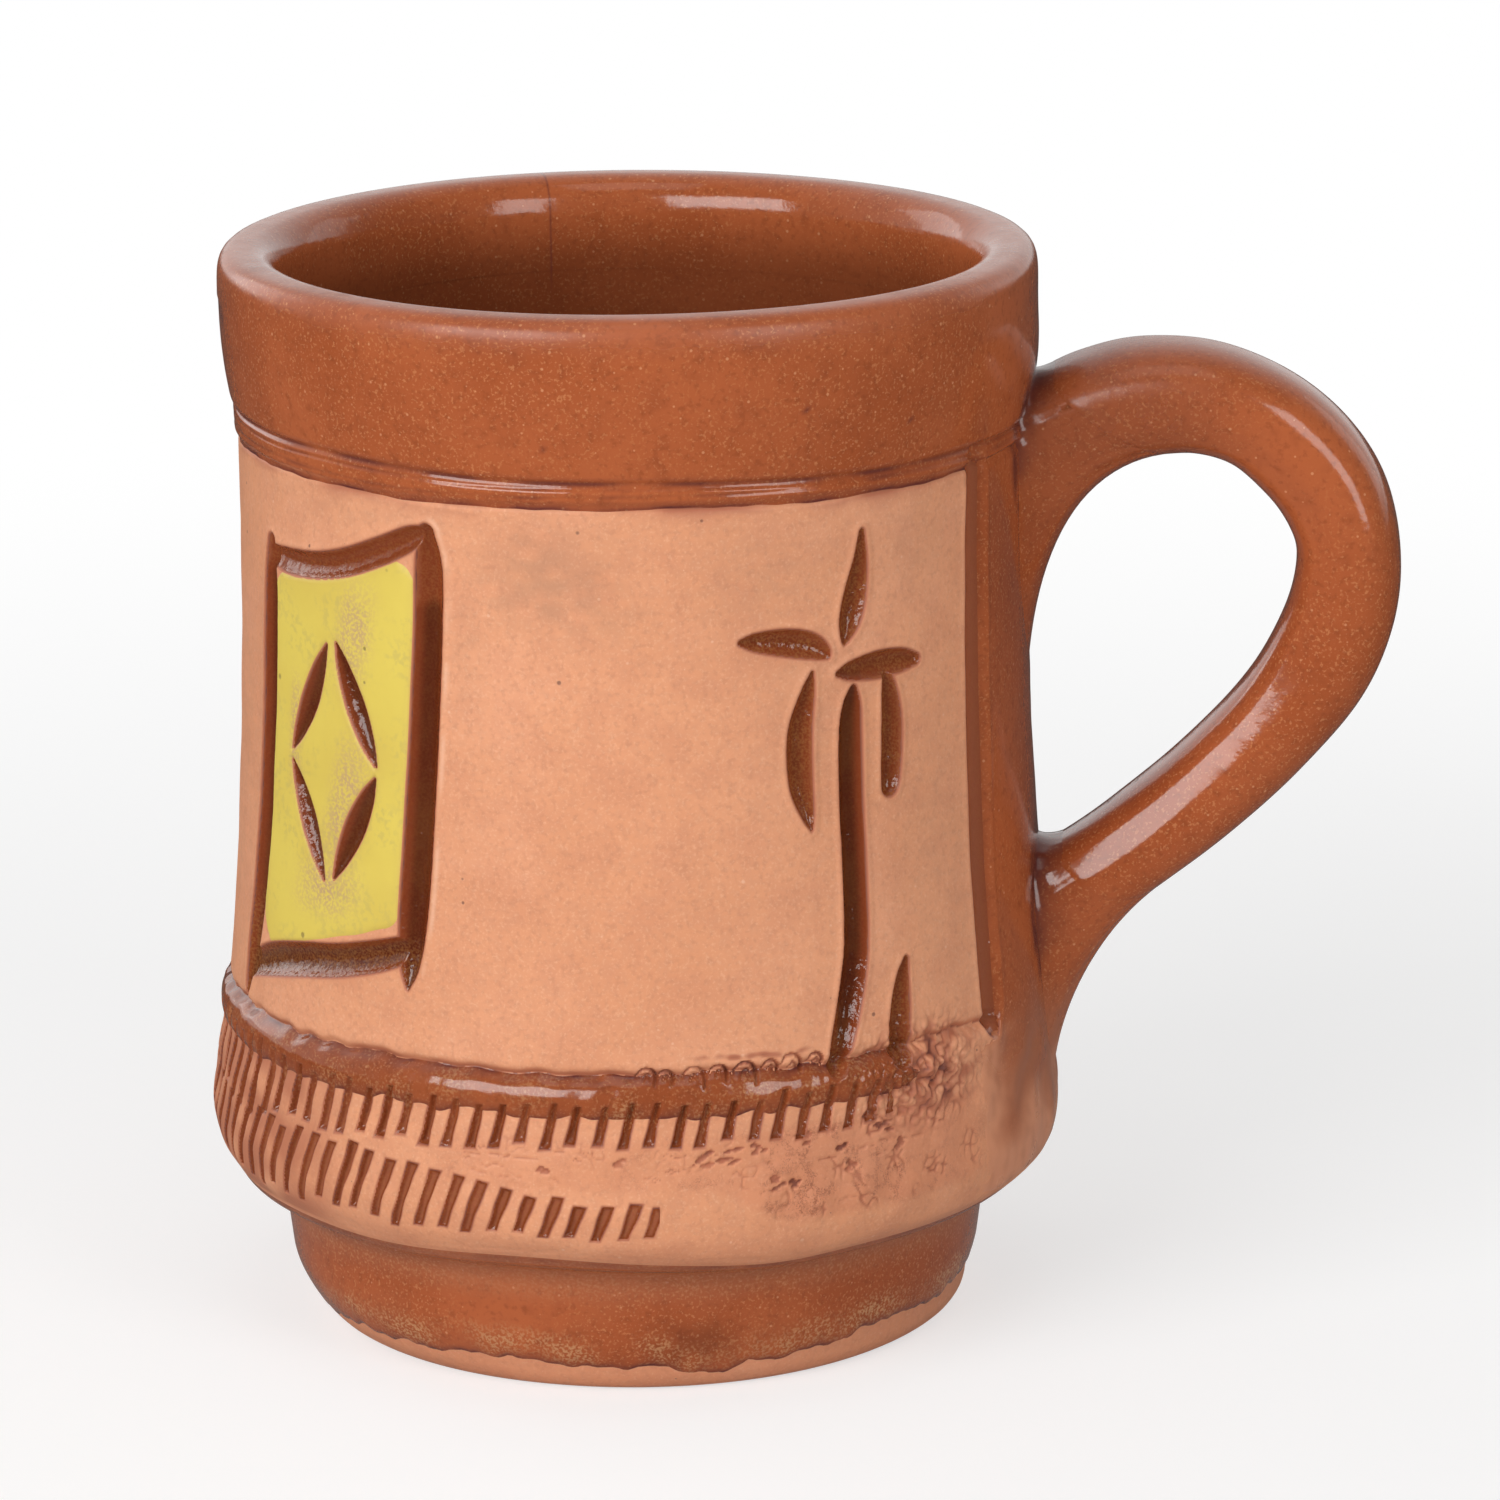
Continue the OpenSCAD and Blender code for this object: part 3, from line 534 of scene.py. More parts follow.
def clay_marks(turn, z):
    """Where brown glaze bled into the clay, where the clay is darker in the cuts on the band and low on the
    belly, where soot from the kiln lies on it, where a painted highlight lies along the burr on the frame's
    right side, and where the belly is crazed."""
    under = np.maximum(lower_line_z(turn) - z, 0)
    runs = eased(0.5 + lumps(24, 0.35 * turn, 4 * z, 9))
    stain = 0.75 * np.exp(-under / 0.35) + 0.35 * np.exp(-under / 1.6) * runs
    over = z - crease_z(turn)
    stain = np.maximum(stain, 0.9 * np.exp(-np.maximum(over, 0) / 0.45))
    if z.min() < marked_below_z:
        notch = np.exp(-np.maximum(-notched(turn, z)[0], 0) / 0.12)
        left_end = 0.42 * eased((-36 - turn) / 18) * eased((turn + 100) / 12)
        stain = np.where(over < 0, np.maximum(0.9 * notch, left_end), stain)
        bled = eased((turn - 4) / 6) * eased((27 - turn) / 6) * hump(over, 1.5, 0.3)
        stain = np.maximum(stain, 0.7 * bled * np.clip(0.6 + 0.6 * lumps(25, turn, z, 2), 0, 1))
        stain = np.maximum(stain, 0.85 * np.clip(2 * gouged(turn, z, deep_band_strokes)[0], 0, 1))
        stain = np.maximum(stain, 0.4 * np.clip(gouged(turn, z, scratch_strokes)[0], 0, 1))
        stain = np.maximum(stain, 0.55 * squiggles(turn, z))
    stain = np.maximum(stain, 0.17 * eased((20 - z) / 3))
    crumbled = 0.4 + 0.3 * lumps(21, turn, z, 2.4) + 0.55 * cracked(turn, z)
    stain = np.maximum(stain, 0.95 * np.minimum(1.6 * roughness_there(turn, z), 1) * np.clip(crumbled, 0, 1))
    stain = stain * np.clip(0.85 + 0.35 * lumps(22, turn, z, 6), 0, 1)
    off_edge = gouged(turn, z, wall_strokes)[2]
    stain = np.maximum(stain, np.exp(-np.maximum(off_edge + 0.1, 0) / 0.17))
    soot = 0 * turn
    for at_turn, at_z, wide, high, strength in sooty_places:
        soot = np.maximum(soot, strength * hump(turn, at_turn, wide) * hump(z, at_z, high))
    soot = soot * np.clip(0.7 + 0.35 * lumps(23, turn, 2 * z, 4), 0, 1.2)
    # Painted highlight: a broken pale line along the burr on the frame's right side, where light catches it.
    off_frame = gouged(turn, z, frame_strokes)[2]
    lit_burr_share = np.clip(0.5 + 0.7 * lumps(27, turn, z, 5), 0, 1) * (turn > -31)
    pale = hump(off_frame, 0.5, 0.2) * lit_burr_share
    crazed = crazed_there(turn, z)
    return np.stack([stain.ravel(), soot.ravel(), pale.ravel(), crazed.ravel()])


for turns, heights in ((band_turns, band_z), (wall_turns, wall_z), (ring_turns, np.r_[rim_low, rim_high])):
    points, turn, z = outside_band(turns, heights)
    body_bands.append((turns, points))
    body_marks.append(clay_marks(turn, z))
body_bands.append((ring_turns, curve_points(ring_turns, lip_path)))
body_bands.append((inside_turns, curve_points(inside_turns, inside_path)))
body_marks.append(np.zeros((4, len(ring_turns) * len(lip_path) + len(inside_turns) * len(inside_path))))
points, faces = joined_rings(body_bands)
faces.append(list(range(len(ring_turns) - 1, -1, -1)))
faces.append(list(range(len(points) - len(inside_turns), len(points))))
stain, soot, pale, crazed = np.hstack(body_marks)
body = skin("thrown_body_clay", points, faces, stain=stain, soot=soot, pale=pale, crazed=crazed)
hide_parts("thrown_body")


def node(tree, kind, inputs=None, **settings):
    """A shader node, with its inputs either set or linked."""
    made = tree.nodes.new(kind)
    for name, value in settings.items():
        setattr(made, name, value)
    for name, value in (inputs or {}).items():
        if isinstance(value, bpy.types.NodeSocket):
            tree.links.new(value, made.inputs[name])
        else:
            made.inputs[name].default_value = value
    return made


def blended(tree, share, first, second):
    made = node(tree, "ShaderNodeMix", {0: share}, data_type="RGBA")
    for place, colour in ((6, first), (7, second)):
        if isinstance(colour, bpy.types.NodeSocket):
            tree.links.new(colour, made.inputs[place])
        else:
            made.inputs[place].default_value = (*colour, 1)
    return made.outputs[2]


def between(tree, value, low, high):
    made = node(tree, "ShaderNodeMapRange", {"Value": value, "From Min": low, "From Max": high},
                interpolation_type="SMOOTHSTEP")
    return made.outputs[0]


def sums(tree, how, first, second):
    made = node(tree, "ShaderNodeMath", {0: first, 1: second}, operation=how)
    return made.outputs[0]


def tinted(tree, tone, *tints):
    """The tone with tints laid over it in turn, each a mask, its share and its colour."""
    for mask, share, colour in tints:
        tone = blended(tree, sums(tree, "MULTIPLY", mask, share), tone, colour)
    return tone


def added(tree, total, *parts):
    """The total with a share of each part added."""
    for value, share in parts:
        total = sums(tree, "ADD", total, sums(tree, "MULTIPLY", value, share))
    return total


def new_finish(name):
    """A new material, with its nodes and its shader."""
    made = bpy.data.materials.new(name)
    made.use_nodes = True
    return made, made.node_tree, made.node_tree.nodes["Principled BSDF"]


def bumped(tree, finish, height, distance, strength):
    bump = node(tree, "ShaderNodeBump", {"Height": height, "Distance": distance, "Strength": strength})
    tree.links.new(bump.outputs[0], finish.inputs["Normal"])


def mark_on(tree, name):
    return node(tree, "ShaderNodeAttribute", attribute_name=name).outputs["Fac"]


def effect_group(name, inputs, outputs):
    group = bpy.data.node_groups.new(name, "ShaderNodeTree")
    for label, start in inputs:
        socket = group.interface.new_socket(label, in_out="INPUT", socket_type="NodeSocketFloat")
        socket.default_value = start
    for label in outputs:
        group.interface.new_socket(label, in_out="OUTPUT", socket_type="NodeSocketFloat")
    return group, group.nodes.new("NodeGroupInput"), group.nodes.new("NodeGroupOutput")


def effect(tree, group, **values):
    made = tree.nodes.new("ShaderNodeGroup")
    made.node_tree = group
    for name, value in values.items():
        made.inputs[name].default_value = value
    return made.outputs


# Grains: small specks that a share of the cells of a grid hold, with how far each stands out.
grains, given, out = effect_group("grains", [("Per_metre", 900), ("Share", 0.2), ("Size", 0.3)], ["Mask"])
place = node(grains, "ShaderNodeTexCoord").outputs["Object"]
cells = node(grains, "ShaderNodeTexVoronoi", {"Vector": place, "Scale": given.outputs["Per_metre"]})
picked = node(grains, "ShaderNodeSeparateColor", {"Color": cells.outputs["Color"]})
held = sums(grains, "LESS_THAN", picked.outputs[0], given.outputs["Share"])
reach = sums(grains, "MULTIPLY", given.outputs["Size"], picked.outputs[1])
near = node(grains, "ShaderNodeMapRange", {"Value": cells.outputs["Distance"], "From Min": reach,
                                           "From Max": sums(grains, "MULTIPLY", reach, 0.6)})
grains.links.new(sums(grains, "MULTIPLY", held, near.outputs[0]), out.inputs["Mask"])

# Clouding: slow changes of tone, a coarse one and a fine one.
clouding, given, out = effect_group("clouding", [("Coarse", 60), ("Fine", 600)], ["Coarse", "Fine"])
place = node(clouding, "ShaderNodeTexCoord").outputs["Object"]
for label, detail in (("Coarse", 4), ("Fine", 3)):
    cloud = node(clouding, "ShaderNodeTexNoise", {
        "Vector": place, "Scale": given.outputs[label], "Detail": detail})
    clouding.links.new(cloud.outputs["Fac"], out.inputs[label])

clay, tree, finish = new_finish("bare_red_clay")
cloud = effect(tree, clouding, Coarse=38, Fine=900)
mottle = effect(tree, clouding, Coarse=240, Fine=90)
grain = effect(tree, clouding, Coarse=1700, Fine=3600)
turning = node(tree, "ShaderNodeMapping", {
    "Vector": node(tree, "ShaderNodeTexCoord").outputs["Object"], "Scale": (6, 6, 900)})
lathe_lines = node(tree, "ShaderNodeTexNoise", {"Vector": turning.outputs[0], "Scale": 1, "Detail": 3})
lathe_lines = lathe_lines.outputs["Fac"]
dark_grit = effect(tree, grains, Per_metre=520, Share=0.1, Size=0.16)["Mask"]
pale_grit = effect(tree, grains, Per_metre=760, Share=0.12, Size=0.2)["Mask"]
wander = node(tree, "ShaderNodeMix", {0: 0.0022, 4: node(tree, "ShaderNodeTexCoord").outputs["Object"],
                                      5: node(tree, "ShaderNodeTexNoise", {"Scale": 500}).outputs["Color"]},
              data_type="VECTOR").outputs[1]
cells = node(tree, "ShaderNodeTexVoronoi", {"Vector": wander, "Scale": 480}, feature="DISTANCE_TO_EDGE")
crack = node(tree, "ShaderNodeMapRange", {
    "Value": cells.outputs["Distance"], "From Min": 0.035, "From Max": 0.0}).outputs[0]
for held_to in (between(tree, cloud["Coarse"], 0.4, 0.6), between(tree, mottle["Coarse"], 0.47, 0.56),
                mark_on(tree, "crazed")):
    crack = sums(tree, "MULTIPLY", crack, held_to)
tone = blended(tree, between(tree, cloud["Coarse"], 0.3, 0.7), (0.84, 0.37, 0.194), (0.77, 0.325, 0.163))
tone = tinted(tree, tone,
              (between(tree, cloud["Fine"], 0.4, 0.75), 0.3, (0.66, 0.3, 0.17)),
              (between(tree, mottle["Coarse"], 0.42, 0.66), 0.3, (0.66, 0.26, 0.14)),
              (between(tree, mottle["Fine"], 0.5, 0.7), 0.25, (0.9, 0.42, 0.25)),
              (between(tree, grain["Coarse"], 0.48, 0.72), 0.3, (0.55, 0.21, 0.105)),
              (between(tree, grain["Fine"], 0.5, 0.75), 0.28, (0.98, 0.58, 0.38)),
              (between(tree, lathe_lines, 0.5, 0.8), 0.12, (0.6, 0.25, 0.14)),
              (dark_grit, 0.75, (0.2, 0.085, 0.055)),
              (pale_grit, 0.4, (0.93, 0.6, 0.42)),
              (mark_on(tree, "soot"), 0.5, (0.42, 0.22, 0.13)),
              (mark_on(tree, "crazed"), 0.45, (0.64, 0.215, 0.105)),
              (crack, 0.9, (0.26, 0.06, 0.035)),
              # A painted highlight along the burr on the frame's right side.
              (mark_on(tree, "pale"), 0.4, (0.95, 0.6, 0.42)))
tone = blended(tree, between(tree, mark_on(tree, "stain"), 0.02, 0.55), tone, (0.5, 0.165, 0.085))
tone = blended(tree, between(tree, mark_on(tree, "stain"), 0.5, 1), tone, (0.19, 0.05, 0.032))
tree.links.new(tone, finish.inputs["Base Color"])
finish.inputs["Roughness"].default_value = 0.5
finish.inputs["Specular IOR Level"].default_value = 0.4
relief = added(tree, sums(tree, "MULTIPLY", lathe_lines, 0.2), (dark_grit, -1), (cloud["Fine"], 0.4),
               (grain["Coarse"], 0.9), (crack, -0.6))
bumped(tree, finish, relief, 0.00007, 0.7)
body.data.materials.append(clay)


# Rim and liner glaze: one pour of transparent brown glaze, over the inside, the lip and the rim,
# down to the lower of the two scored lines. It is glossy and holds pale specks, and it goes
# dark and purplish in a line where it ends.
glaze_t = 0.26
brown, tree, finish = new_finish("clear_brown_glaze")
cloud = effect(tree, clouding, Coarse=55, Fine=420)
grain = effect(tree, clouding, Coarse=1500, Fine=3400)
pale_specks = effect(tree, grains, Per_metre=1150, Share=0.5, Size=0.22)["Mask"]
fine_specks = sums(tree, "MULTIPLY", between(tree, grain["Fine"], 0.54, 0.69),
                   between(tree, cloud["Coarse"], 0.3, 0.55))
crystals = sums(tree, "MULTIPLY", between(tree, grain["Fine"], 0.44, 0.6), mark_on(tree, "bloom"))
tone = blended(tree, between(tree, cloud["Coarse"], 0.3, 0.72), (0.47, 0.12, 0.041), (0.37, 0.086, 0.027))
tone = tinted(tree, tone,
              (between(tree, cloud["Fine"], 0.5, 0.75), 0.3, (0.27, 0.06, 0.02)),
              (between(tree, grain["Coarse"], 0.5, 0.72), 0.35, (0.2, 0.045, 0.018)),
              (pale_specks, 0.45, (0.8, 0.4, 0.2)),
              (fine_specks, 0.5, (0.66, 0.27, 0.11)),
              # The deep mark darkens the glaze: painted shade inside the mug, and a darker tone on the
              # shoulder, the handle's top and a patch on the foot.
              (mark_on(tree, "deep"), 1, (0.1, 0.024, 0.009)),
              (crystals, 0.7, (0.6, 0.32, 0.15)),
              (mark_on(tree, "thin"), 1, (0.44, 0.15, 0.07)),
              (mark_on(tree, "bare"), 1, (0.72, 0.3, 0.16)),
              # The edge mark: dark lines and spots where a glaze ends, lies in scored lines or is cracked or
              # chipped, and painted shade in the crevices round the handle's roots.
              (mark_on(tree, "edge"), 1, (0.105, 0.026, 0.026)))
tree.links.new(tone, finish.inputs["Base Color"])
gloss = node(tree, "ShaderNodeMapRange", {"Value": cloud["Fine"], "To Min": 0.04, "To Max": 0.2})
dull = added(tree, gloss.outputs[0], (mark_on(tree, "thin"), 0.3), (mark_on(tree, "dulled"), 0.3))
tree.links.new(dull, finish.inputs["Roughness"])
bumped(tree, finish, added(tree, cloud["Coarse"], (cloud["Fine"], 0.25), (grain["Coarse"], 0.1)), 0.0005, 0.3)


def raised_path(path, by):
    along = np.gradient(path, axis=0)
    along = along / np.linalg.norm(along, axis=1)[:, None]
    return path + by * np.stack([along[:, 1], -along[:, 0]], axis=1)


def grid_faces(rings, count, closed=True):
    i = np.arange(count if closed else count - 1)[None, :]
    j = (i + 1) % count
    ring = np.arange(rings - 1)[:, None] * count
    return np.stack([ring + i, ring + j, ring + count + j, ring + count + i], axis=-1).reshape(-1, 4)


hidden_under, bead_w, dive_reach, dive_share = 0.03, 0.35, 0.3, 0.6


def kept_part(points, faces, thick, marks):
    """Drops the faces of a coat that lie under the clay, and the points that no face uses."""
    faces = faces[thick.ravel()[faces].max(axis=1) > -hidden_under]
    used = np.unique(faces)
    number = np.full(len(points), -1)
    number[used] = np.arange(len(used))
    marks = {name: np.ravel(values)[used] for name, values in marks.items()}
    return points[used], number[faces].tolist(), marks


def coat_thickness(inside_by, thick):
    """Thickness of a coat at a distance inside its edge. Outside the edge it dives under the clay."""
    swelling = thick * (1 - np.exp(-inside_by / bead_w))
    return np.where(inside_by > 0, swelling, np.maximum(inside_by, -dive_reach) * dive_share)


def coat_on_wall(name, turns, heights, inside_by, thick, closed=True, **marks):
    """A coat over a part of the outside, where inside_by tells the distance from its edge."""
    turn, z = np.meshgrid(turns, heights)
    within = inside_by(turn, z)
    laid = coat_thickness(within, thick(turn, z))
    points = around_points(turn, outside(turn, z) + laid, z).reshape(-1, 3)
    found = {label: mark(turn, z, within) for label, mark in marks.items()}
    points, faces, found = kept_part(points, grid_faces(len(heights), len(turns), closed), laid, found)
    return skin(name, points, faces, **found)


def rim_edge_z(turn):
    ragged = 0.1 * lumps(31, turn, 0 * turn, 14) + 0.04 * lumps(32, turn, 0 * turn, 4)
    return lower_line_z(turn) - 0.3 + ragged


upper_root_z, lower_root_z, root_wall_r = 87.4, 40.0, 39.5
root_corners = ((upper_root_z, 8.7, 8.0), (lower_root_z, 7.6, 8.8))


def root_crevice_shade(turn, z):
    """Painted shade: a dark line in the corner round each root of the handle, where shade falls."""
    dark = 0 * z
    for root_z, half_w, half_h in root_corners:
        apart = np.hypot(np.radians(turn - handle_turn) * root_wall_r / half_w, (z - root_z) / half_h)
        dark = np.maximum(dark, hump(apart, 1, 0.14) * eased((z - root_z + 7.5) / 4))
    return dark * np.clip(0.8 + 0.5 * lumps(72, turn, z, 4), 0, 1)


def mouth_painted_shade(z):
    """Painted shade: how far the glaze is darkened towards the inside of the mug, deeper down."""
    return 0.62 * eased((lip_low_z + 1.5 - z) / 7)


mouth_rings = 4
turn, z = np.meshgrid(ring_turns, np.r_[rim_low, rim_high])
within = z - rim_edge_z(turn)
laid = coat_thickness(within, glaze_t)
over_rim = around_points(turn, outside(turn, z) + laid, z)
over_lip = curve_points(ring_turns, raised_path(lip_path, glaze_t))
into_mouth = curve_points(ring_turns, raised_path(inside_path, glaze_t)[:mouth_rings])
points = np.vstack([part.reshape(-1, 3) for part in (over_rim, over_lip, into_mouth)])
rings = len(points) // len(ring_turns)
plain_rings = len(over_lip) + len(into_mouth)
laid = np.vstack([laid, np.full((plain_rings, len(ring_turns)), glaze_t)])
edge = np.exp(-np.abs(within - 0.1) / 0.3)
edge = np.maximum(edge, 0.8 * hump(z, upper_line_z(turn), 0.3))
for line_z in (lower_fine_z(turn), upper_fine_z(turn)):
    edge = np.maximum(edge, 0.5 * hump(z, line_z, fine_line_w) * eased(0.5 + lumps(34, turn, z, 9)))
# Painted shade in the corners round the handle's roots is laid over the rim's dark edge lines.
edge = np.maximum(edge * np.clip(0.75 + 0.5 * lumps(33, turn, z, 7), 0.15, 1), root_crevice_shade(turn, z))
rim_spots = ((24, 98.1, 0.35), (-83, 102.3, 1.3), (-79, 101.6, 0.8), (-12, 95.2, 0.25), (41, 95.6, 0.25))
for at_turn, at_z, size in rim_spots:
    apart = np.hypot(np.radians(turn - at_turn) * rim_r, z - at_z) / size
    edge = np.maximum(edge, 0.7 * np.exp(-apart ** 4))
hairline_w = 0.11
hairline = 0.55 * hump(np.radians(ring_turns - hairline_turn) * mouth_r, 0, hairline_w)
edge = np.vstack([edge, np.repeat(hairline[None, :], plain_rings, axis=0)])
lip_r_there, lip_z_there = np.vstack([lip_path, inside_path[:mouth_rings]]).T
on_inside = np.r_[lip_path[:, 0] < lip_middle[0], np.ones(mouth_rings, bool)]
# Painted shade: the inside half of the lip and the mouth are darkened deeper down, through the deep mark.
shade = np.where(on_inside, mouth_painted_shade(lip_z_there), 0)
worn = eased((lip_z_there - lip_low_z) / 3) * eased((lip_r_there - mouth_r - 1) / 2)
plain = np.zeros_like(z)
shade = np.vstack([plain, np.repeat(shade[:, None], len(ring_turns), axis=1)])
worn = np.vstack([plain, worn[:, None] * (0.3 + 0.5 * eased((70 - np.abs(ring_turns)) / 25))])
points, faces, found = kept_part(
    points, grid_faces(rings, len(ring_turns)), laid, {"edge": edge, "deep": shade, "dulled": worn})
rim_glaze = skin("rim_glaze_pour", points, faces, **found)
rim_glaze.data.materials.append(brown)
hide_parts("rim_glaze")

under_rim_glaze = 0.05
liner_path = raised_path(inside_path, glaze_t - under_rim_glaze)[2:]
points = curve_points(ring_turns, liner_path).reshape(-1, 3)
faces = grid_faces(len(liner_path), len(ring_turns)).tolist()
faces.append(list(range(len(points) - len(ring_turns), len(points))))
liner_z = np.repeat(liner_path[:, 1:], len(ring_turns), axis=1)
# The liner's deep mark is painted shade, darker deeper in the mug.
liner = skin("liner_glaze_pour", points, faces, deep=mouth_painted_shade(liner_z),
             edge=hairline * eased((9 - lip_low_z + liner_z) / 5))
liner.data.materials.append(brown)
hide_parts("liner_glaze")


# Shoulder glaze: brown glaze brushed on the rolled shoulder, up to the crease under the wall.
# It runs down unevenly between the notches, and breaks up into spots on the rough place.
shoulder_coat_z, shoulder_stop_turn, run_in_notch, brushed_t = 30.6, 45.5, 2.4, 0.16


def shoulder_inside(turn, z):
    low = shoulder_coat_z + 0.2 * lumps(41, turn, 0 * turn, 12) + 0.2 * lumps(42, turn, 0 * turn, 3)
    low = low - run_in_notch * eased(notched(turn, z)[0] / 0.3)
    ends = np.abs(turn - handle_turn) - shoulder_stop_turn + 1.2 * lumps(43, turn, z, 4)
    return np.minimum(np.minimum(crease_z(turn) + 0.05 - z, z - low), 0.7 * ends)


def edge_line(turn, z, within):
    return np.exp(-np.abs(within - 0.12) / 0.22) * np.clip(0.6 + 0.5 * lumps(44, turn, z, 5), 0, 1)


def shoulder_edge(turn, z, within):
    broad = 0.5 * np.exp(-within / 0.8) * np.clip(0.5 + 0.8 * lumps(45, turn, z, 3), 0, 1)
    return np.maximum(edge_line(turn, z, within), broad)


shoulder = coat_on_wall("shoulder_glaze_brushed", band_turns, np.arange(17, 36.2, 0.19), shoulder_inside,
                        lambda turn, z: brushed_t + 0.02 * lumps(46, turn, z, 3), edge=shoulder_edge,
                        bloom=lambda turn, z, within: np.clip(0.1 + 0.3 * lumps(47, turn, z, 5), 0, 1),
                        deep=lambda turn, z, within: 0.26 + 0 * z)
shoulder.data.materials.append(brown)
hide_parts("shoulder_glaze")


# Notch glaze: the same glaze where it has pooled in the cuts, dark and greenish brown where it lies thick and
# redder where it is thin. In the notches it is laid lighter in the middle of each cut and darker along its
# walls, which is painted shade.
pooled, tree, finish = new_finish("pooled_dark_glaze")
cloud = effect(tree, clouding, Coarse=130, Fine=900)
specks = effect(tree, clouding, Coarse=1300, Fine=4200)
pool = mark_on(tree, "pool")
green_share = between(tree, cloud["Coarse"], 0.38, 0.62)
deep_tone = blended(tree, green_share, (0.11, 0.019, 0.006), (0.135, 0.034, 0.01))
thin_tone = blended(tree, between(tree, pool, 0, 0.25), (0.36, 0.105, 0.05), (0.25, 0.05, 0.016))
tone = blended(tree, between(tree, pool, 0.25, 0.9), thin_tone, deep_tone)
crystals = sums(tree, "MULTIPLY", between(tree, specks["Fine"], 0.36, 0.66), mark_on(tree, "bloom"))
tone = tinted(tree, tone, (crystals, 0.7, (0.4, 0.165, 0.05)))
tree.links.new(tone, finish.inputs["Base Color"])
dull = node(tree, "ShaderNodeMapRange", {"Value": mark_on(tree, "bloom"), "From Min": 0.6, "From Max": 0.75,
                                         "To Min": 0.09, "To Max": 0.4})
tree.links.new(dull.outputs[0], finish.inputs["Roughness"])
finish.inputs["Specular IOR Level"].default_value = 0.45
bumped(tree, finish, cloud["Fine"], 0.0004, 0.5)


pool_film, pool_dive, pool_edge_share = 0.06, 0.2, 0.14
notch_pool_t, groove_pool_t, gouge_pool_t = 0.1, 0.16, 0.18


def pool_coat(name, turns, heights, how_inside, thick, darkest=lambda inside, turn, z: inside,
              bloom=lambda turn, z: 0.15 + 0 * turn):
    """Glaze in the cuts: how_inside is 1 on a cut's middle and 0 on its edge.
    Crystals grow where it blooms."""
    turn, z = np.meshgrid(turns, heights)
    inside = how_inside(turn, z)
    laid = pool_film + thick * np.clip(inside, 0, 1) ** 1.5
    laid = laid - pool_dive * eased((pool_edge_share - inside) / pool_edge_share)
    points = around_points(turn, outside(turn, z) + laid, z).reshape(-1, 3)
    marks = {"pool": darkest(np.clip(inside, 0, 1), turn, z), "bloom": bloom(turn, z)}
    points, faces, found = kept_part(points, grid_faces(len(heights), len(turns), False), laid, marks)
    piece = skin(name, points, faces, **found)
    piece.data.materials.append(pooled)
    return piece


# Painted shade: the pool mark here is highest at each notch's walls, so the glaze is darker there.
notch_glaze = pool_coat("notch_glaze_pools", np.r_[band_turns, 180], np.arange(17, 33, 0.19),
                        lambda turn, z: notched(turn, z)[0] / 0.42, notch_pool_t,
                        lambda inside, turn, z: 0.4 - 0.34 * inside, lambda turn, z: 0.3 + 0 * turn)
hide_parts("notch_glaze")


# Foot glaze: brown glaze round the foot, from the undercut down to a ragged edge above the table.
# Pale crystals have grown along its lower edge, and the last of the foot stays bare clay.
coat_path = raised_path(foot_path, 1)
lean = coat_path - foot_path
turn, step = np.meshgrid(ring_turns, np.arange(len(foot_path)))
foot_z = foot_path[step, 1]
foot_edge_turns = (-180, -110, -75, -50, -22, 0, 8, 14, 18, 23, 28, 36, 41, 58, 78, 110, 180)
foot_edge_heights = (3.6, 3.2, 1.9, 2.8, 3.3, 3.0, 2.4, 1.9, 3.1, 2.7, 3.3, 3.0, 3.9, 3.6, 4.2, 3.8, 3.6)
ragged_z = np.interp(turn, foot_edge_turns, foot_edge_heights) + 0.25 * lumps(52, turn, 0 * turn, 8)
ragged_z = ragged_z + 0.13 * lumps(53, turn, 0 * turn, 2.6)
undercut_edge_z = 15.35
within = np.minimum(foot_z - ragged_z, undercut_edge_z - foot_z)
laid = coat_thickness(within, glaze_t)
foot_r = foot_path[step, 0] + laid * lean[step, 0]
points = around_points(turn, foot_r + sway(turn, foot_z), foot_z + laid * lean[step, 1]).reshape(-1, 3)
edge = np.exp(-np.abs(within - 0.12) / 0.28) * np.clip(0.75 + 0.5 * lumps(54, turn, foot_z, 6), 0, 1)
patches = np.clip(0.5 + 0.8 * lumps(58, turn, foot_z, 3), 0, 1)
edge = np.maximum(edge, 0.6 * np.exp(-np.maximum(within, 0) / 0.7) * patches) * np.where(foot_z < 10, 1, 0.5)
patch_turn, patch_z, patch_half_turn, patch_half_h = 9, 5.6, 6.5, 2.2
dark_patch = np.exp(-((turn - patch_turn) / patch_half_turn) ** 4 - ((foot_z - patch_z) / patch_half_h) ** 4)
dark_patch = dark_patch * np.clip(0.85 + 0.25 * lumps(56, turn, foot_z, 4), 0, 1)
bloom_z = 1.8
bloom = np.clip(1.3 - np.abs(foot_z - ragged_z - bloom_z) / bloom_z, 0, 1)
bloom = bloom * np.clip(0.65 + 0.6 * lumps(55, turn, foot_z, 10), 0, 1)
bloom = np.maximum(bloom * (1 - 0.8 * dark_patch), 0.3 * eased((foot_z - 9.5) / 2.5))
thin = 0.4 * eased((foot_z - 9) / 3.5) + 0.08 * np.clip(lumps(57, turn, foot_z, 9), 0, 1)
foot_marks = {"edge": edge, "bloom": bloom, "thin": thin, "deep": 0.4 * dark_patch}
points, faces, found = kept_part(points, grid_faces(len(foot_path), len(ring_turns)), laid, foot_marks)
foot_glaze = skin("foot_glaze_band", points, faces, **found)
foot_glaze.data.materials.append(brown)
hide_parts("foot_glaze")


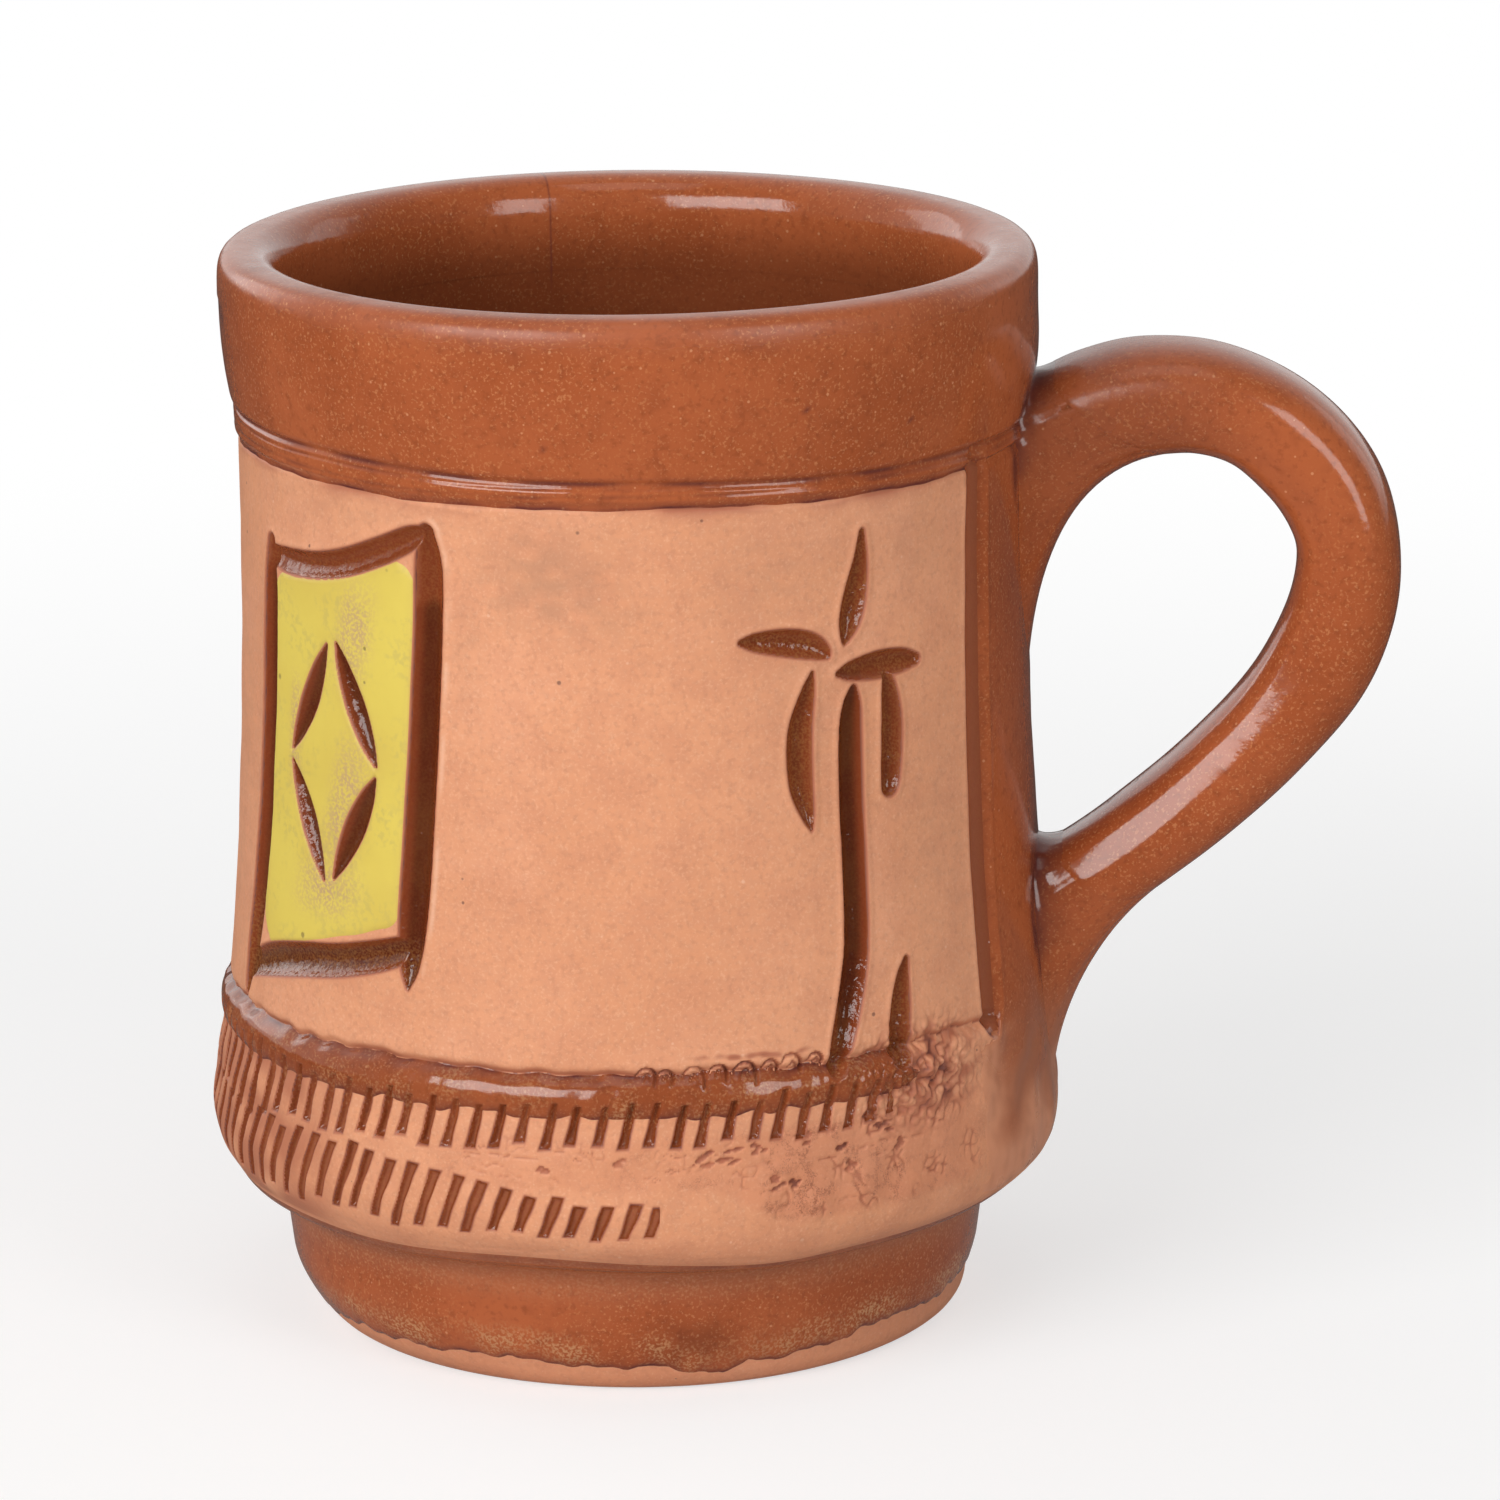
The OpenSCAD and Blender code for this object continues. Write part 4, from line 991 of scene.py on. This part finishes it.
# Strip and groove glaze: the wall behind the handle is glazed brown between two upright grooves,
# and on down over the shoulder. The grooves are gouged to stop the glaze, which pools in them.
strip_low_z, strip_flare, strip_gap = 17, 3.5, 0.7
strip_t, strip_low_t = 0.14, 0.05


def strip_inside(turn, z):
    side = np.radians(handle_turn - groove_turn - np.abs(turn - handle_turn)) * root_wall_r - strip_gap
    side = side + strip_flare * eased((34 - z) / 3)
    ragged = (0.4 + 0.8 * lumps(61, turn, z, 7) + 0.4 * lumps(63, turn, z, 2)) * eased((35 - z) / 2)
    low = z - strip_low_z - 0.8 * lumps(62, turn, 0 * turn, 9)
    return np.minimum(np.minimum(side - ragged, low), lower_line_z(turn) + 1 - z)


def strip_thin(turn, z, within):
    return 0.8 * eased((37 - z) / 9) * np.clip(0.9 + 0.3 * lumps(64, turn, z, 8), 0, 1)


def strip_bare(turn, z, within):
    fading = hump(np.maximum(within, 0), 0, 3.6) * eased((34 - z) / 3)
    fading = np.maximum(fading, eased((27 - z + 2 * lumps(66, turn, z, 9)) / 8))
    return np.clip(fading * (1 + 0.2 * lumps(65, turn, z, 2)), 0, 1)


def strip_edge(turn, z, within):
    # The strip's dark edge lines, with painted shade in the corners round the handle's roots.
    return np.maximum(edge_line(turn, z, within) * (z > 34), root_crevice_shade(turn, z))


def strip_thickness(turn, z):
    return strip_t - (strip_t - strip_low_t) * eased((36 - z) / 4)


strip_turns = np.arange(50, 120.2, 0.5)
strip = coat_on_wall("strip_glaze_brushed", strip_turns, np.arange(16.5, 90.5, 0.4), strip_inside,
                     strip_thickness, closed=False, thin=strip_thin, bare=strip_bare, edge=strip_edge)
strip.data.materials.append(brown)
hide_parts("strip_glaze")

groove_turns = np.r_[np.arange(54.2, 61, 0.2), np.arange(109, 115.8, 0.2)]
# Painted highlight and shade: the groove's glaze is lighter along its middle and darker at its sides.
groove_glaze = pool_coat("groove_glaze_pools", groove_turns, np.arange(33, 90.8, 0.3),
                         lambda turn, z: gouged(turn, z, groove_strokes)[0], groove_pool_t,
                         lambda inside, turn, z: 0.2 - 0.16 * inside)
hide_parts("groove_glaze")


# Handle: a strap of clay pulled by hand to an oval, bent round and luted to the wall at both ends.
# It is glazed brown all over, and draws in where the slip joints cover it. Each station holds its
# place out and up, and its thickness.
handle_line = np.array([
    (38.0, 86.9, 11.8), (39.8, 87.5, 11.8), (42.4, 89.0, 11.6), (45.6, 90.9, 11.2), (50.2, 92.0, 11.3),
    (55.8, 92.0, 10.5), (61.2, 90.1, 10.2), (65.7, 86.4, 10.4), (68.7, 82.0, 10.4), (70.0, 77.0, 10.4),
    (69.4, 71.1, 10.5), (66.7, 64.7, 10.3), (62.0, 58.4, 9.8), (56.1, 52.5, 9.6), (49.8, 47.4, 9.5),
    (43.9, 43.0, 9.8), (40.0, 40.0, 10.6), (38.3, 39.2, 10.8)])
handle_top_w, handle_low_w = 14.8, 12.8
handle_squareness = 2.6
flat_lean, flat_cut = math.radians(24), 0.34
upper_leave, lower_leave = (2.75, 4.7), (14.75, 14.0)
leave_power = 2.2
sunk_depth, sink_gap, upper_sink, lower_sink = 1.6, 0.15, 0.9, 0.6
hand_share, shave_share, shave_softness = 0.6, 0.45, 0.02
clay_steps, clay_around = 6, 40
strap_steps, strap_around = 14, 72


def leave_station(angle, web_way, tight_station, web_station):
    """The station at which a slip joint ends, round the strap."""
    return tight_station + (web_station - tight_station) * ((1 - web_way * np.cos(angle)) / 2) ** leave_power


def sunk(steps, around):
    """How far the strap draws in under its slip joints."""
    station = np.arange((len(handle_line) - 1) * steps + 1)[:, None] / steps
    angle = np.linspace(0, 2 * math.pi, around, endpoint=False)
    under_upper = eased((leave_station(angle, 1, *upper_leave) - sink_gap - station) / upper_sink)
    under_lower = eased((station - leave_station(angle, -1, *lower_leave) - sink_gap) / lower_sink)
    return sunk_depth * np.maximum(under_upper, under_lower)


def handle_skin(by, steps, around):
    """Rings of points round the strap, raised by this much, with the marks of the hand."""
    line = smooth_line(handle_line, steps)
    run = np.gradient(line[:, :2], axis=0)
    run = run / np.linalg.norm(run, axis=1)[:, None]
    up = np.stack([-run[:, 1], run[:, 0]], axis=1)
    share = np.linspace(0, 1, len(line))[:, None]
    a = np.linspace(0, 2 * math.pi, around, endpoint=False)[None, :]
    power = 2 / handle_squareness
    thick = np.sign(np.cos(a)) * np.abs(np.cos(a)) ** power
    aside = np.sign(np.sin(a)) * np.abs(np.sin(a)) ** power
    hand = 0.16 * np.sin(21 * share + 2 * np.sin(a)) + 0.08 * np.sin(37 * share + 3 * np.cos(a) + 1)
    hand = hand + 0.03 * np.sin(71 * share + 2 * a)
    half_t = line[:, 2:] / 2 + by + hand_share * hand
    half_w = (handle_top_w + (handle_low_w - handle_top_w) * share) / 2 + by + hand_share * hand
    outward = half_t * thick
    forward = half_w * aside
    dual = handle_squareness / (handle_squareness - 1)
    reach = ((half_t * math.sin(flat_lean)) ** dual + (half_w * math.cos(flat_lean)) ** dual) ** (1 / dual)
    over = forward * math.cos(flat_lean) - outward * math.sin(flat_lean) - reach
    over = over + flat_cut * eased((share - 0.2) / 0.2)
    shaved = shave_share * (over + np.sqrt(over ** 2 + shave_softness))
    outward = outward + shaved * math.sin(flat_lean)
    forward = forward - shaved * math.cos(flat_lean)
    x = line[:, :1] + up[:, :1] * outward
    z = line[:, 1:2] + up[:, 1:] * outward
    y = -forward + 0.25 * np.sin(9 * share)
    return np.stack([x, y + 0 * x, z], axis=-1) * MM


def closed_tube(rings):
    count = rings.shape[1]
    faces = grid_faces(len(rings), count).tolist()
    faces.append(list(range(count - 1, -1, -1)))
    faces.append(list(range((len(rings) - 1) * count, len(rings) * count)))
    return rings.reshape(-1, 3), faces


points, faces = closed_tube(handle_skin(-glaze_t - sunk(clay_steps, clay_around), clay_steps, clay_around))
handle = skin("pulled_handle_clay", points, faces)
handle.data.materials.append(clay)
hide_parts("pulled_handle")

rings = handle_skin(-sunk(strap_steps, strap_around), strap_steps, strap_around)
points = rings.reshape(-1, 3)
along = np.repeat(np.linspace(0, 1, len(rings))[:, None], rings.shape[1], axis=1)
near_top = eased((0.38 - along) / 0.12)
handle_glaze = skin("handle_glaze_coat", points, grid_faces(len(rings), rings.shape[1]).tolist(),
                    deep=0.2 * near_top, dulled=0.5 * near_top)
handle_glaze.data.materials.append(brown)
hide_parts("handle_glaze")


# Slip joints: liquid clay worked round each end of the handle with a finger to hold it to the wall.
# Each flows from a footprint on the wall into the strap, in a tight corner on one side and a long
# web on the other. Both are glazed brown.
joint_around, joint_steps = 96, 28
buried, foot_buried, crevice_shade_w = 0.03, 0.35, 3.2
web_spread_share, inner_share = 0.2, 0.85
strap_rings = handle_skin(-buried, strap_steps, strap_around)


def on_footprint(angle, scale, root_z, half_w, tight_reach, web_reach, web_way):
    """Points on the wall round a root, at this share of its footprint's size."""
    web_share = (1 - web_way * np.cos(angle)) / 2
    reach = np.where(web_share > 0.5, web_reach, tight_reach)
    z = root_z + scale * web_way * reach * np.cos(angle)
    aside = half_w * (1 + web_spread_share * web_share) * np.sin(angle)
    turn = handle_turn - scale * np.degrees(aside / root_wall_r)
    return around_points(turn, outside(turn, z) - foot_buried, z), turn


def slip_joint(name, footprint, leave_stations, pulls, low_crevice_shade_z, marks):
    """One joint, which leaves the strap at these stations, in its tight corner and along its web."""
    web_way = footprint[-1]
    angle = np.linspace(0, 2 * math.pi, joint_around, endpoint=False)
    foot, foot_turn = on_footprint(angle, 1, *footprint)
    inward = on_footprint(angle, inner_share, *footprint)[0] - foot
    inward = inward / np.linalg.norm(inward, axis=1)[:, None]
    station = leave_station(angle, web_way, *leave_stations) * strap_steps
    ring = np.floor(station).astype(int)
    spoke = np.round(angle / (2 * math.pi) * strap_around).astype(int) % strap_around
    ahead = strap_rings[ring + 1, spoke] - strap_rings[ring, spoke]
    leave = strap_rings[ring, spoke] + (station - ring)[:, None] * ahead
    ahead = web_way * ahead / np.linalg.norm(ahead, axis=1)[:, None]
    apart = np.linalg.norm(leave - foot, axis=1)[:, None]
    t = np.linspace(0, 1, joint_steps + 1)[:, None, None]
    points = ((1 - t) ** 3 * foot + 3 * (1 - t) ** 2 * t * (foot + pulls[0] * apart * inward)
              + 3 * (1 - t) * t ** 2 * (leave - pulls[1] * apart * ahead) + t ** 3 * leave)
    faces = grid_faces(joint_steps + 1, joint_around)
    faces = faces if web_way > 0 else faces[:, ::-1]
    t = t[:, :, 0]
    # Painted shade: the joint is darkened near the wall, in the crevice round the upper part of each root.
    crevice_shade = 0.95 * hump(t * apart[:, 0] / MM, 0, crevice_shade_w) * eased((foot[:, 2] / MM - low_crevice_shade_z) / 4)
    found = marks(t, foot_turn + 0 * t, points[:, :, 2] / MM)
    piece = skin(name, points.reshape(-1, 3), faces.tolist(), edge=crevice_shade, **found)
    piece.data.materials.append(brown)
    return piece


def upper_marks(t, turn, z):
    return {"deep": 0.2 * t + 0 * z, "dulled": 0.5 * t + 0 * z}


def lower_marks(t, turn, z):
    well_inside = 99 + 0 * z
    return {"thin": (1 - t) * strip_thin(turn, z, well_inside),
            "bare": (1 - t) * strip_bare(turn, z, well_inside)}


# Each footprint: its height on the wall, half its width, its reach in the tight corner and along the
# web, and 1 for the strap's start with the web on its inner side, or -1 for its end and outer side.
upper_footprint = (upper_root_z, 8.5, 7.9, 30.0, 1)
lower_footprint = (lower_root_z, 7.4, 8.6, 20.0, -1)
upper_joint = slip_joint("upper_slip_joint_smear", upper_footprint, upper_leave, (0.45, 0.36), 82,
                         upper_marks)
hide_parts("upper_slip_joint")
lower_joint = slip_joint("lower_slip_joint_smear", lower_footprint, lower_leave, (0.36, 0.32), 33,
                         lower_marks)
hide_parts("lower_slip_joint")


# Panel: a frame gouged into the wall, with its glaze, round a field of yellow slip.
# The slip is painted on thick and matte, is worn and pitted, and stops at a carved lozenge.
yellow, tree, finish = new_finish("painted_yellow_slip")
cloud = effect(tree, clouding, Coarse=90, Fine=3200)
brushed = effect(tree, clouding, Coarse=210, Fine=1500)
thinned = sums(tree, "MULTIPLY", between(tree, brushed["Coarse"], 0.45, 0.65),
               between(tree, brushed["Fine"], 0.45, 0.65))
rubbed = sums(tree, "MULTIPLY", mark_on(tree, "worn"), between(tree, cloud["Fine"], 0.38, 0.6))
pits = effect(tree, grains, Per_metre=430, Share=0.2, Size=0.2)["Mask"]
tone = blended(tree, between(tree, cloud["Coarse"], 0.35, 0.7), (0.8, 0.62, 0.1), (0.74, 0.55, 0.09))
tone = tinted(tree, tone,
              (thinned, 0.4, (0.56, 0.43, 0.12)),
              (rubbed, 0.85, (0.56, 0.33, 0.19)),
              (pits, 0.75, (0.28, 0.2, 0.05)),
              (mark_on(tree, "edge"), 0.35, (0.6, 0.38, 0.1)))
tree.links.new(tone, finish.inputs["Base Color"])
finish.inputs["Roughness"].default_value = 0.5
bumped(tree, finish, added(tree, sums(tree, "MULTIPLY", cloud["Fine"], 0.15), (pits, -1)), 0.0001, 0.6)

slip_corners = np.array([
    (-59.3, 76.5), (-47, 78.4), (-35.9, 80.4), (-36.5, 70), (-37.5, 58), (-38.7, 49.1), (-49, 47.1),
    (-61.6, 44.4), (-60.7, 52), (-59.9, 64)])
slip_corner_r, slip_t = 2.8, 0.22


def inside_slip(turn, z):
    """Distance inside the painted field's edge, which keeps clear of the lozenge."""
    around = np.radians(turn) * np.interp(z, profile_z, profile_r)
    corners = slip_corners.copy()
    corners[:, 0] = np.radians(corners[:, 0]) * np.interp(corners[:, 1], profile_z, profile_r)
    gap = np.full(turn.shape, 1e9)
    side = np.zeros(turn.shape, bool)
    for a, b in zip(corners, np.roll(corners, -1, axis=0)):
        step = b - a
        t = np.clip(((around - a[0]) * step[0] + (z - a[1]) * step[1]) / (step @ step), 0, 1)
        gap = np.minimum(gap, np.hypot(around - a[0] - t * step[0], z - a[1] - t * step[1]))
        crosses = (a[1] > z) != (b[1] > z)
        rise = step[1] if abs(step[1]) > 1e-6 else 1e-6
        side ^= crosses & (around < step[0] * (z - a[1]) / rise + a[0])
    within = np.where(side, gap, -gap) + slip_corner_r - 0.35
    within = within + 0.09 * lumps(81, turn, z, 6)
    return np.minimum(within, gouged(turn, z, lozenge_strokes + frame_strokes)[2] - 0.12)


def slip_wear(turn, z, within):
    """Where the slip is rubbed thin: a patch high on the right, one low in the middle, one on the left."""
    worn = 0 * turn
    for at_turn, at_z, wide, high, lean in ((-43.5, 74.6, 3.2, 4.8, 0.25), (-45.2, 57.5, 3.4, 6.6, 0.3),
                                            (-56.8, 64, 1.4, 4.6, 0), (-49, 49.5, 6, 2.6, 0.3)):
        across = (turn - at_turn - lean * (z - at_z)) / wide
        worn = np.maximum(worn, np.exp(-np.abs(across) ** 3 - np.abs((z - at_z) / high) ** 3))
    return worn * np.clip(0.9 + 0.2 * lumps(82, turn, z, 4), 0, 1)


slip = coat_on_wall("panel_slip_paint", np.arange(-68, -28, 0.25), np.arange(39, 86, 0.22), inside_slip,
                    lambda turn, z: slip_t + 0.02 * lumps(83, turn, z, 4), closed=False, worn=slip_wear,
                    edge=lambda turn, z, within: np.exp(-np.maximum(within, 0) / 0.3))
slip.data.materials.append(yellow)
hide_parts("panel_slip")


def on_top_bar(z):
    return eased((z - 78) / 2)


frame_glaze = pool_coat("frame_glaze_pools", np.arange(-75, -26, 0.2), np.arange(33.4, 89, 0.2),
                        lambda turn, z: gouged(turn, z, frame_strokes)[0] * (1 - 0.3 * on_top_bar(z)),
                        gouge_pool_t,
                        lambda inside, turn, z: inside * (1 - 0.4 * on_top_bar(z)),
                        lambda turn, z: 0.1 + 0.48 * eased((47 - z) / 3) + 0.25 * on_top_bar(z))
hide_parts("frame_glaze")

lozenge_glaze = pool_coat("lozenge_glaze_pools", np.arange(-61, -36, 0.2), np.arange(48, 76, 0.2),
                          lambda turn, z: gouged(turn, z, lozenge_strokes)[0], gouge_pool_t)
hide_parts("lozenge_glaze")


# Palm: leaves, trunk and a blade of grass, each cut with one push of a round gouge.
# Glaze brushed over them has pooled in the cuts.
trunk_turn, trunk_top_z = 31.5, 71


def off_trunk(turn, z):
    return np.maximum(eased(np.abs(turn - trunk_turn) - 2), eased(z - trunk_top_z))


def leaf_bloom(turn, z):
    return 0.1 + 0.5 * off_trunk(turn, z) * np.clip(0.9 + 0.3 * lumps(91, turn, z, 4), 0, 1)


def leaf_pool(inside, turn, z):
    return inside * (1 - 0.45 * off_trunk(turn, z))


palm_glaze = pool_coat("palm_glaze_pools", np.arange(12, 48, 0.17), np.arange(32, 88.5, 0.2),
                       lambda turn, z: gouged(turn, z, palm_strokes)[0], gouge_pool_t, leaf_pool, leaf_bloom)
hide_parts("palm_glaze")


# Studio: a pale floor that runs out to white, a large soft box at the left, smaller ones at the right,
# behind and overhead, and a long lens a little above the mug.
floor_half = 4
bounce_tone, shadow_tone, shadow_glow, sky_light = 0.8, 0.48, 0.6, 0.28
corners = [(x * floor_half, y * floor_half, 0) for x, y in ((-1, -1), (1, -1), (1, 1), (-1, 1))]
floor_mesh = bpy.data.meshes.new("studio_floor")
floor_mesh.from_pydata(corners, [], [(0, 1, 2, 3)])
floor = bpy.data.objects.new("studio_floor", floor_mesh)
bpy.context.collection.objects.link(floor)


def seen_rays(tree):
    """The rays that come straight from the lens, and those with the mirrored and bent ones added."""
    rays = node(tree, "ShaderNodeLightPath")
    straight = rays.outputs["Is Camera Ray"]
    seen = sums(tree, "MAXIMUM", straight, rays.outputs["Is Glossy Ray"])
    return straight, sums(tree, "MAXIMUM", seen, rays.outputs["Is Transmission Ray"])


paper = bpy.data.materials.new("white_paper")
paper.use_nodes = True
tree = paper.node_tree
tree.nodes.clear()
straight, seen = seen_rays(tree)
spread = node(tree, "ShaderNodeVectorMath", {0: node(tree, "ShaderNodeTexCoord").outputs["Object"]},
              operation="LENGTH")
far = between(tree, spread.outputs["Value"], 0.1, 0.4)
plain = node(tree, "ShaderNodeBsdfDiffuse", {"Color": (bounce_tone, bounce_tone, bounce_tone, 1)})
fading = node(tree, "ShaderNodeMapRange", {
    "Value": spread.outputs["Value"], "From Min": 0.05, "From Max": 0.2, "To Min": 0.17, "To Max": 0.06})
mirrored = node(tree, "ShaderNodeEmission", {"Strength": fading.outputs[0]})
glow = node(tree, "ShaderNodeEmission", {"Strength": shadow_glow})
dim = node(tree, "ShaderNodeBsdfDiffuse", {"Color": (shadow_tone, shadow_tone, shadow_tone, 1)})
lit = node(tree, "ShaderNodeAddShader", {0: glow.outputs[0], 1: dim.outputs[0]})
white = node(tree, "ShaderNodeEmission", {"Strength": 1.0})
backdrop = node(tree, "ShaderNodeMixShader", {0: far, 1: lit.outputs[0], 2: white.outputs[0]})
bounced = node(tree, "ShaderNodeMixShader", {0: seen, 1: plain.outputs[0], 2: mirrored.outputs[0]})
shown = node(tree, "ShaderNodeMixShader", {
    0: straight, 1: bounced.outputs[0], 2: backdrop.outputs[0]})
node(tree, "ShaderNodeOutputMaterial", {"Surface": shown.outputs[0]})
floor_mesh.materials.append(paper)

world = bpy.data.worlds.new("white_studio")
bpy.context.scene.world = world
world.use_nodes = True
tree = world.node_tree
tree.nodes.clear()
straight, seen = seen_rays(tree)
way = node(tree, "ShaderNodeVectorMath", {
    0: node(tree, "ShaderNodeTexCoord").outputs["Generated"], 1: (-0.35, 0.94, 0)}, operation="DOT_PRODUCT")
mirrored = node(tree, "ShaderNodeMapRange", {
    "Value": way.outputs["Value"], "From Min": -0.2, "From Max": 0.7, "To Min": 0.06, "To Max": 1})
shown = sums(tree, "MAXIMUM", straight, mirrored.outputs[0])
strength = node(tree, "ShaderNodeMapRange", {"Value": seen, "To Min": sky_light, "To Max": shown})
sky = node(tree, "ShaderNodeBackground", {"Color": (1, 1, 1, 1), "Strength": strength.outputs[0]})
node(tree, "ShaderNodeOutputWorld", {"Surface": sky.outputs[0]})


def aimed(thing, place, target):
    away = np.array(target) - np.array(place)
    thing.location = place
    flat = math.hypot(away[0], away[1])
    thing.rotation_euler = (math.atan2(flat, -away[2]), 0, math.atan2(away[1], away[0]) - math.pi / 2)


lamp_target = (0, 0, 0.06)
for name, place, wide, high, power in (
        ("key_soft_box", (-0.57, -0.87, 0.5), 0.8, 0.5, 7.6),
        ("right_soft_box", (0.71, -0.76, 0.42), 0.36, 0.6, 2.8),
        ("back_left_soft_box", (-0.75, 0.55, 0.4), 0.5, 0.5, 1.0),
        ("back_right_soft_box", (0.8, 0.6, 0.4), 0.4, 0.5, 0.35),
        ("top_soft_box", (0.0, -0.35, 1.0), 0.5, 0.5, 0.7)):
    lamp = bpy.data.lights.new(name, "AREA")
    lamp.shape = "RECTANGLE"
    lamp.size = wide
    lamp.size_y = high
    lamp.energy = power
    box = bpy.data.objects.new(name, lamp)
    bpy.context.collection.objects.link(box)
    aimed(box, place, lamp_target)

camera_distance, camera_height, lens_length = 0.7435, 0.253, 186.74
camera_pitch, camera_yaw, camera_roll = 14.86, 0.87, -0.48
lens = bpy.data.cameras.new("long_lens")
lens.lens = lens_length
lens.sensor_width = 36
lens.clip_start = 0.01
camera = bpy.data.objects.new("camera", lens)
bpy.context.collection.objects.link(camera)
facing = math.radians(-handle_turn)
camera.location = (camera_distance * math.cos(facing), camera_distance * math.sin(facing), camera_height)
heading = facing + math.pi / 2 - math.radians(camera_yaw)
tilt = Matrix.Rotation(heading, 4, "Z") @ Matrix.Rotation(math.radians(90 - camera_pitch), 4, "X")
camera.rotation_euler = (tilt @ Matrix.Rotation(math.radians(camera_roll), 4, "Z")).to_euler()
bpy.context.scene.camera = camera
bpy.context.scene.view_settings.view_transform = "Standard"
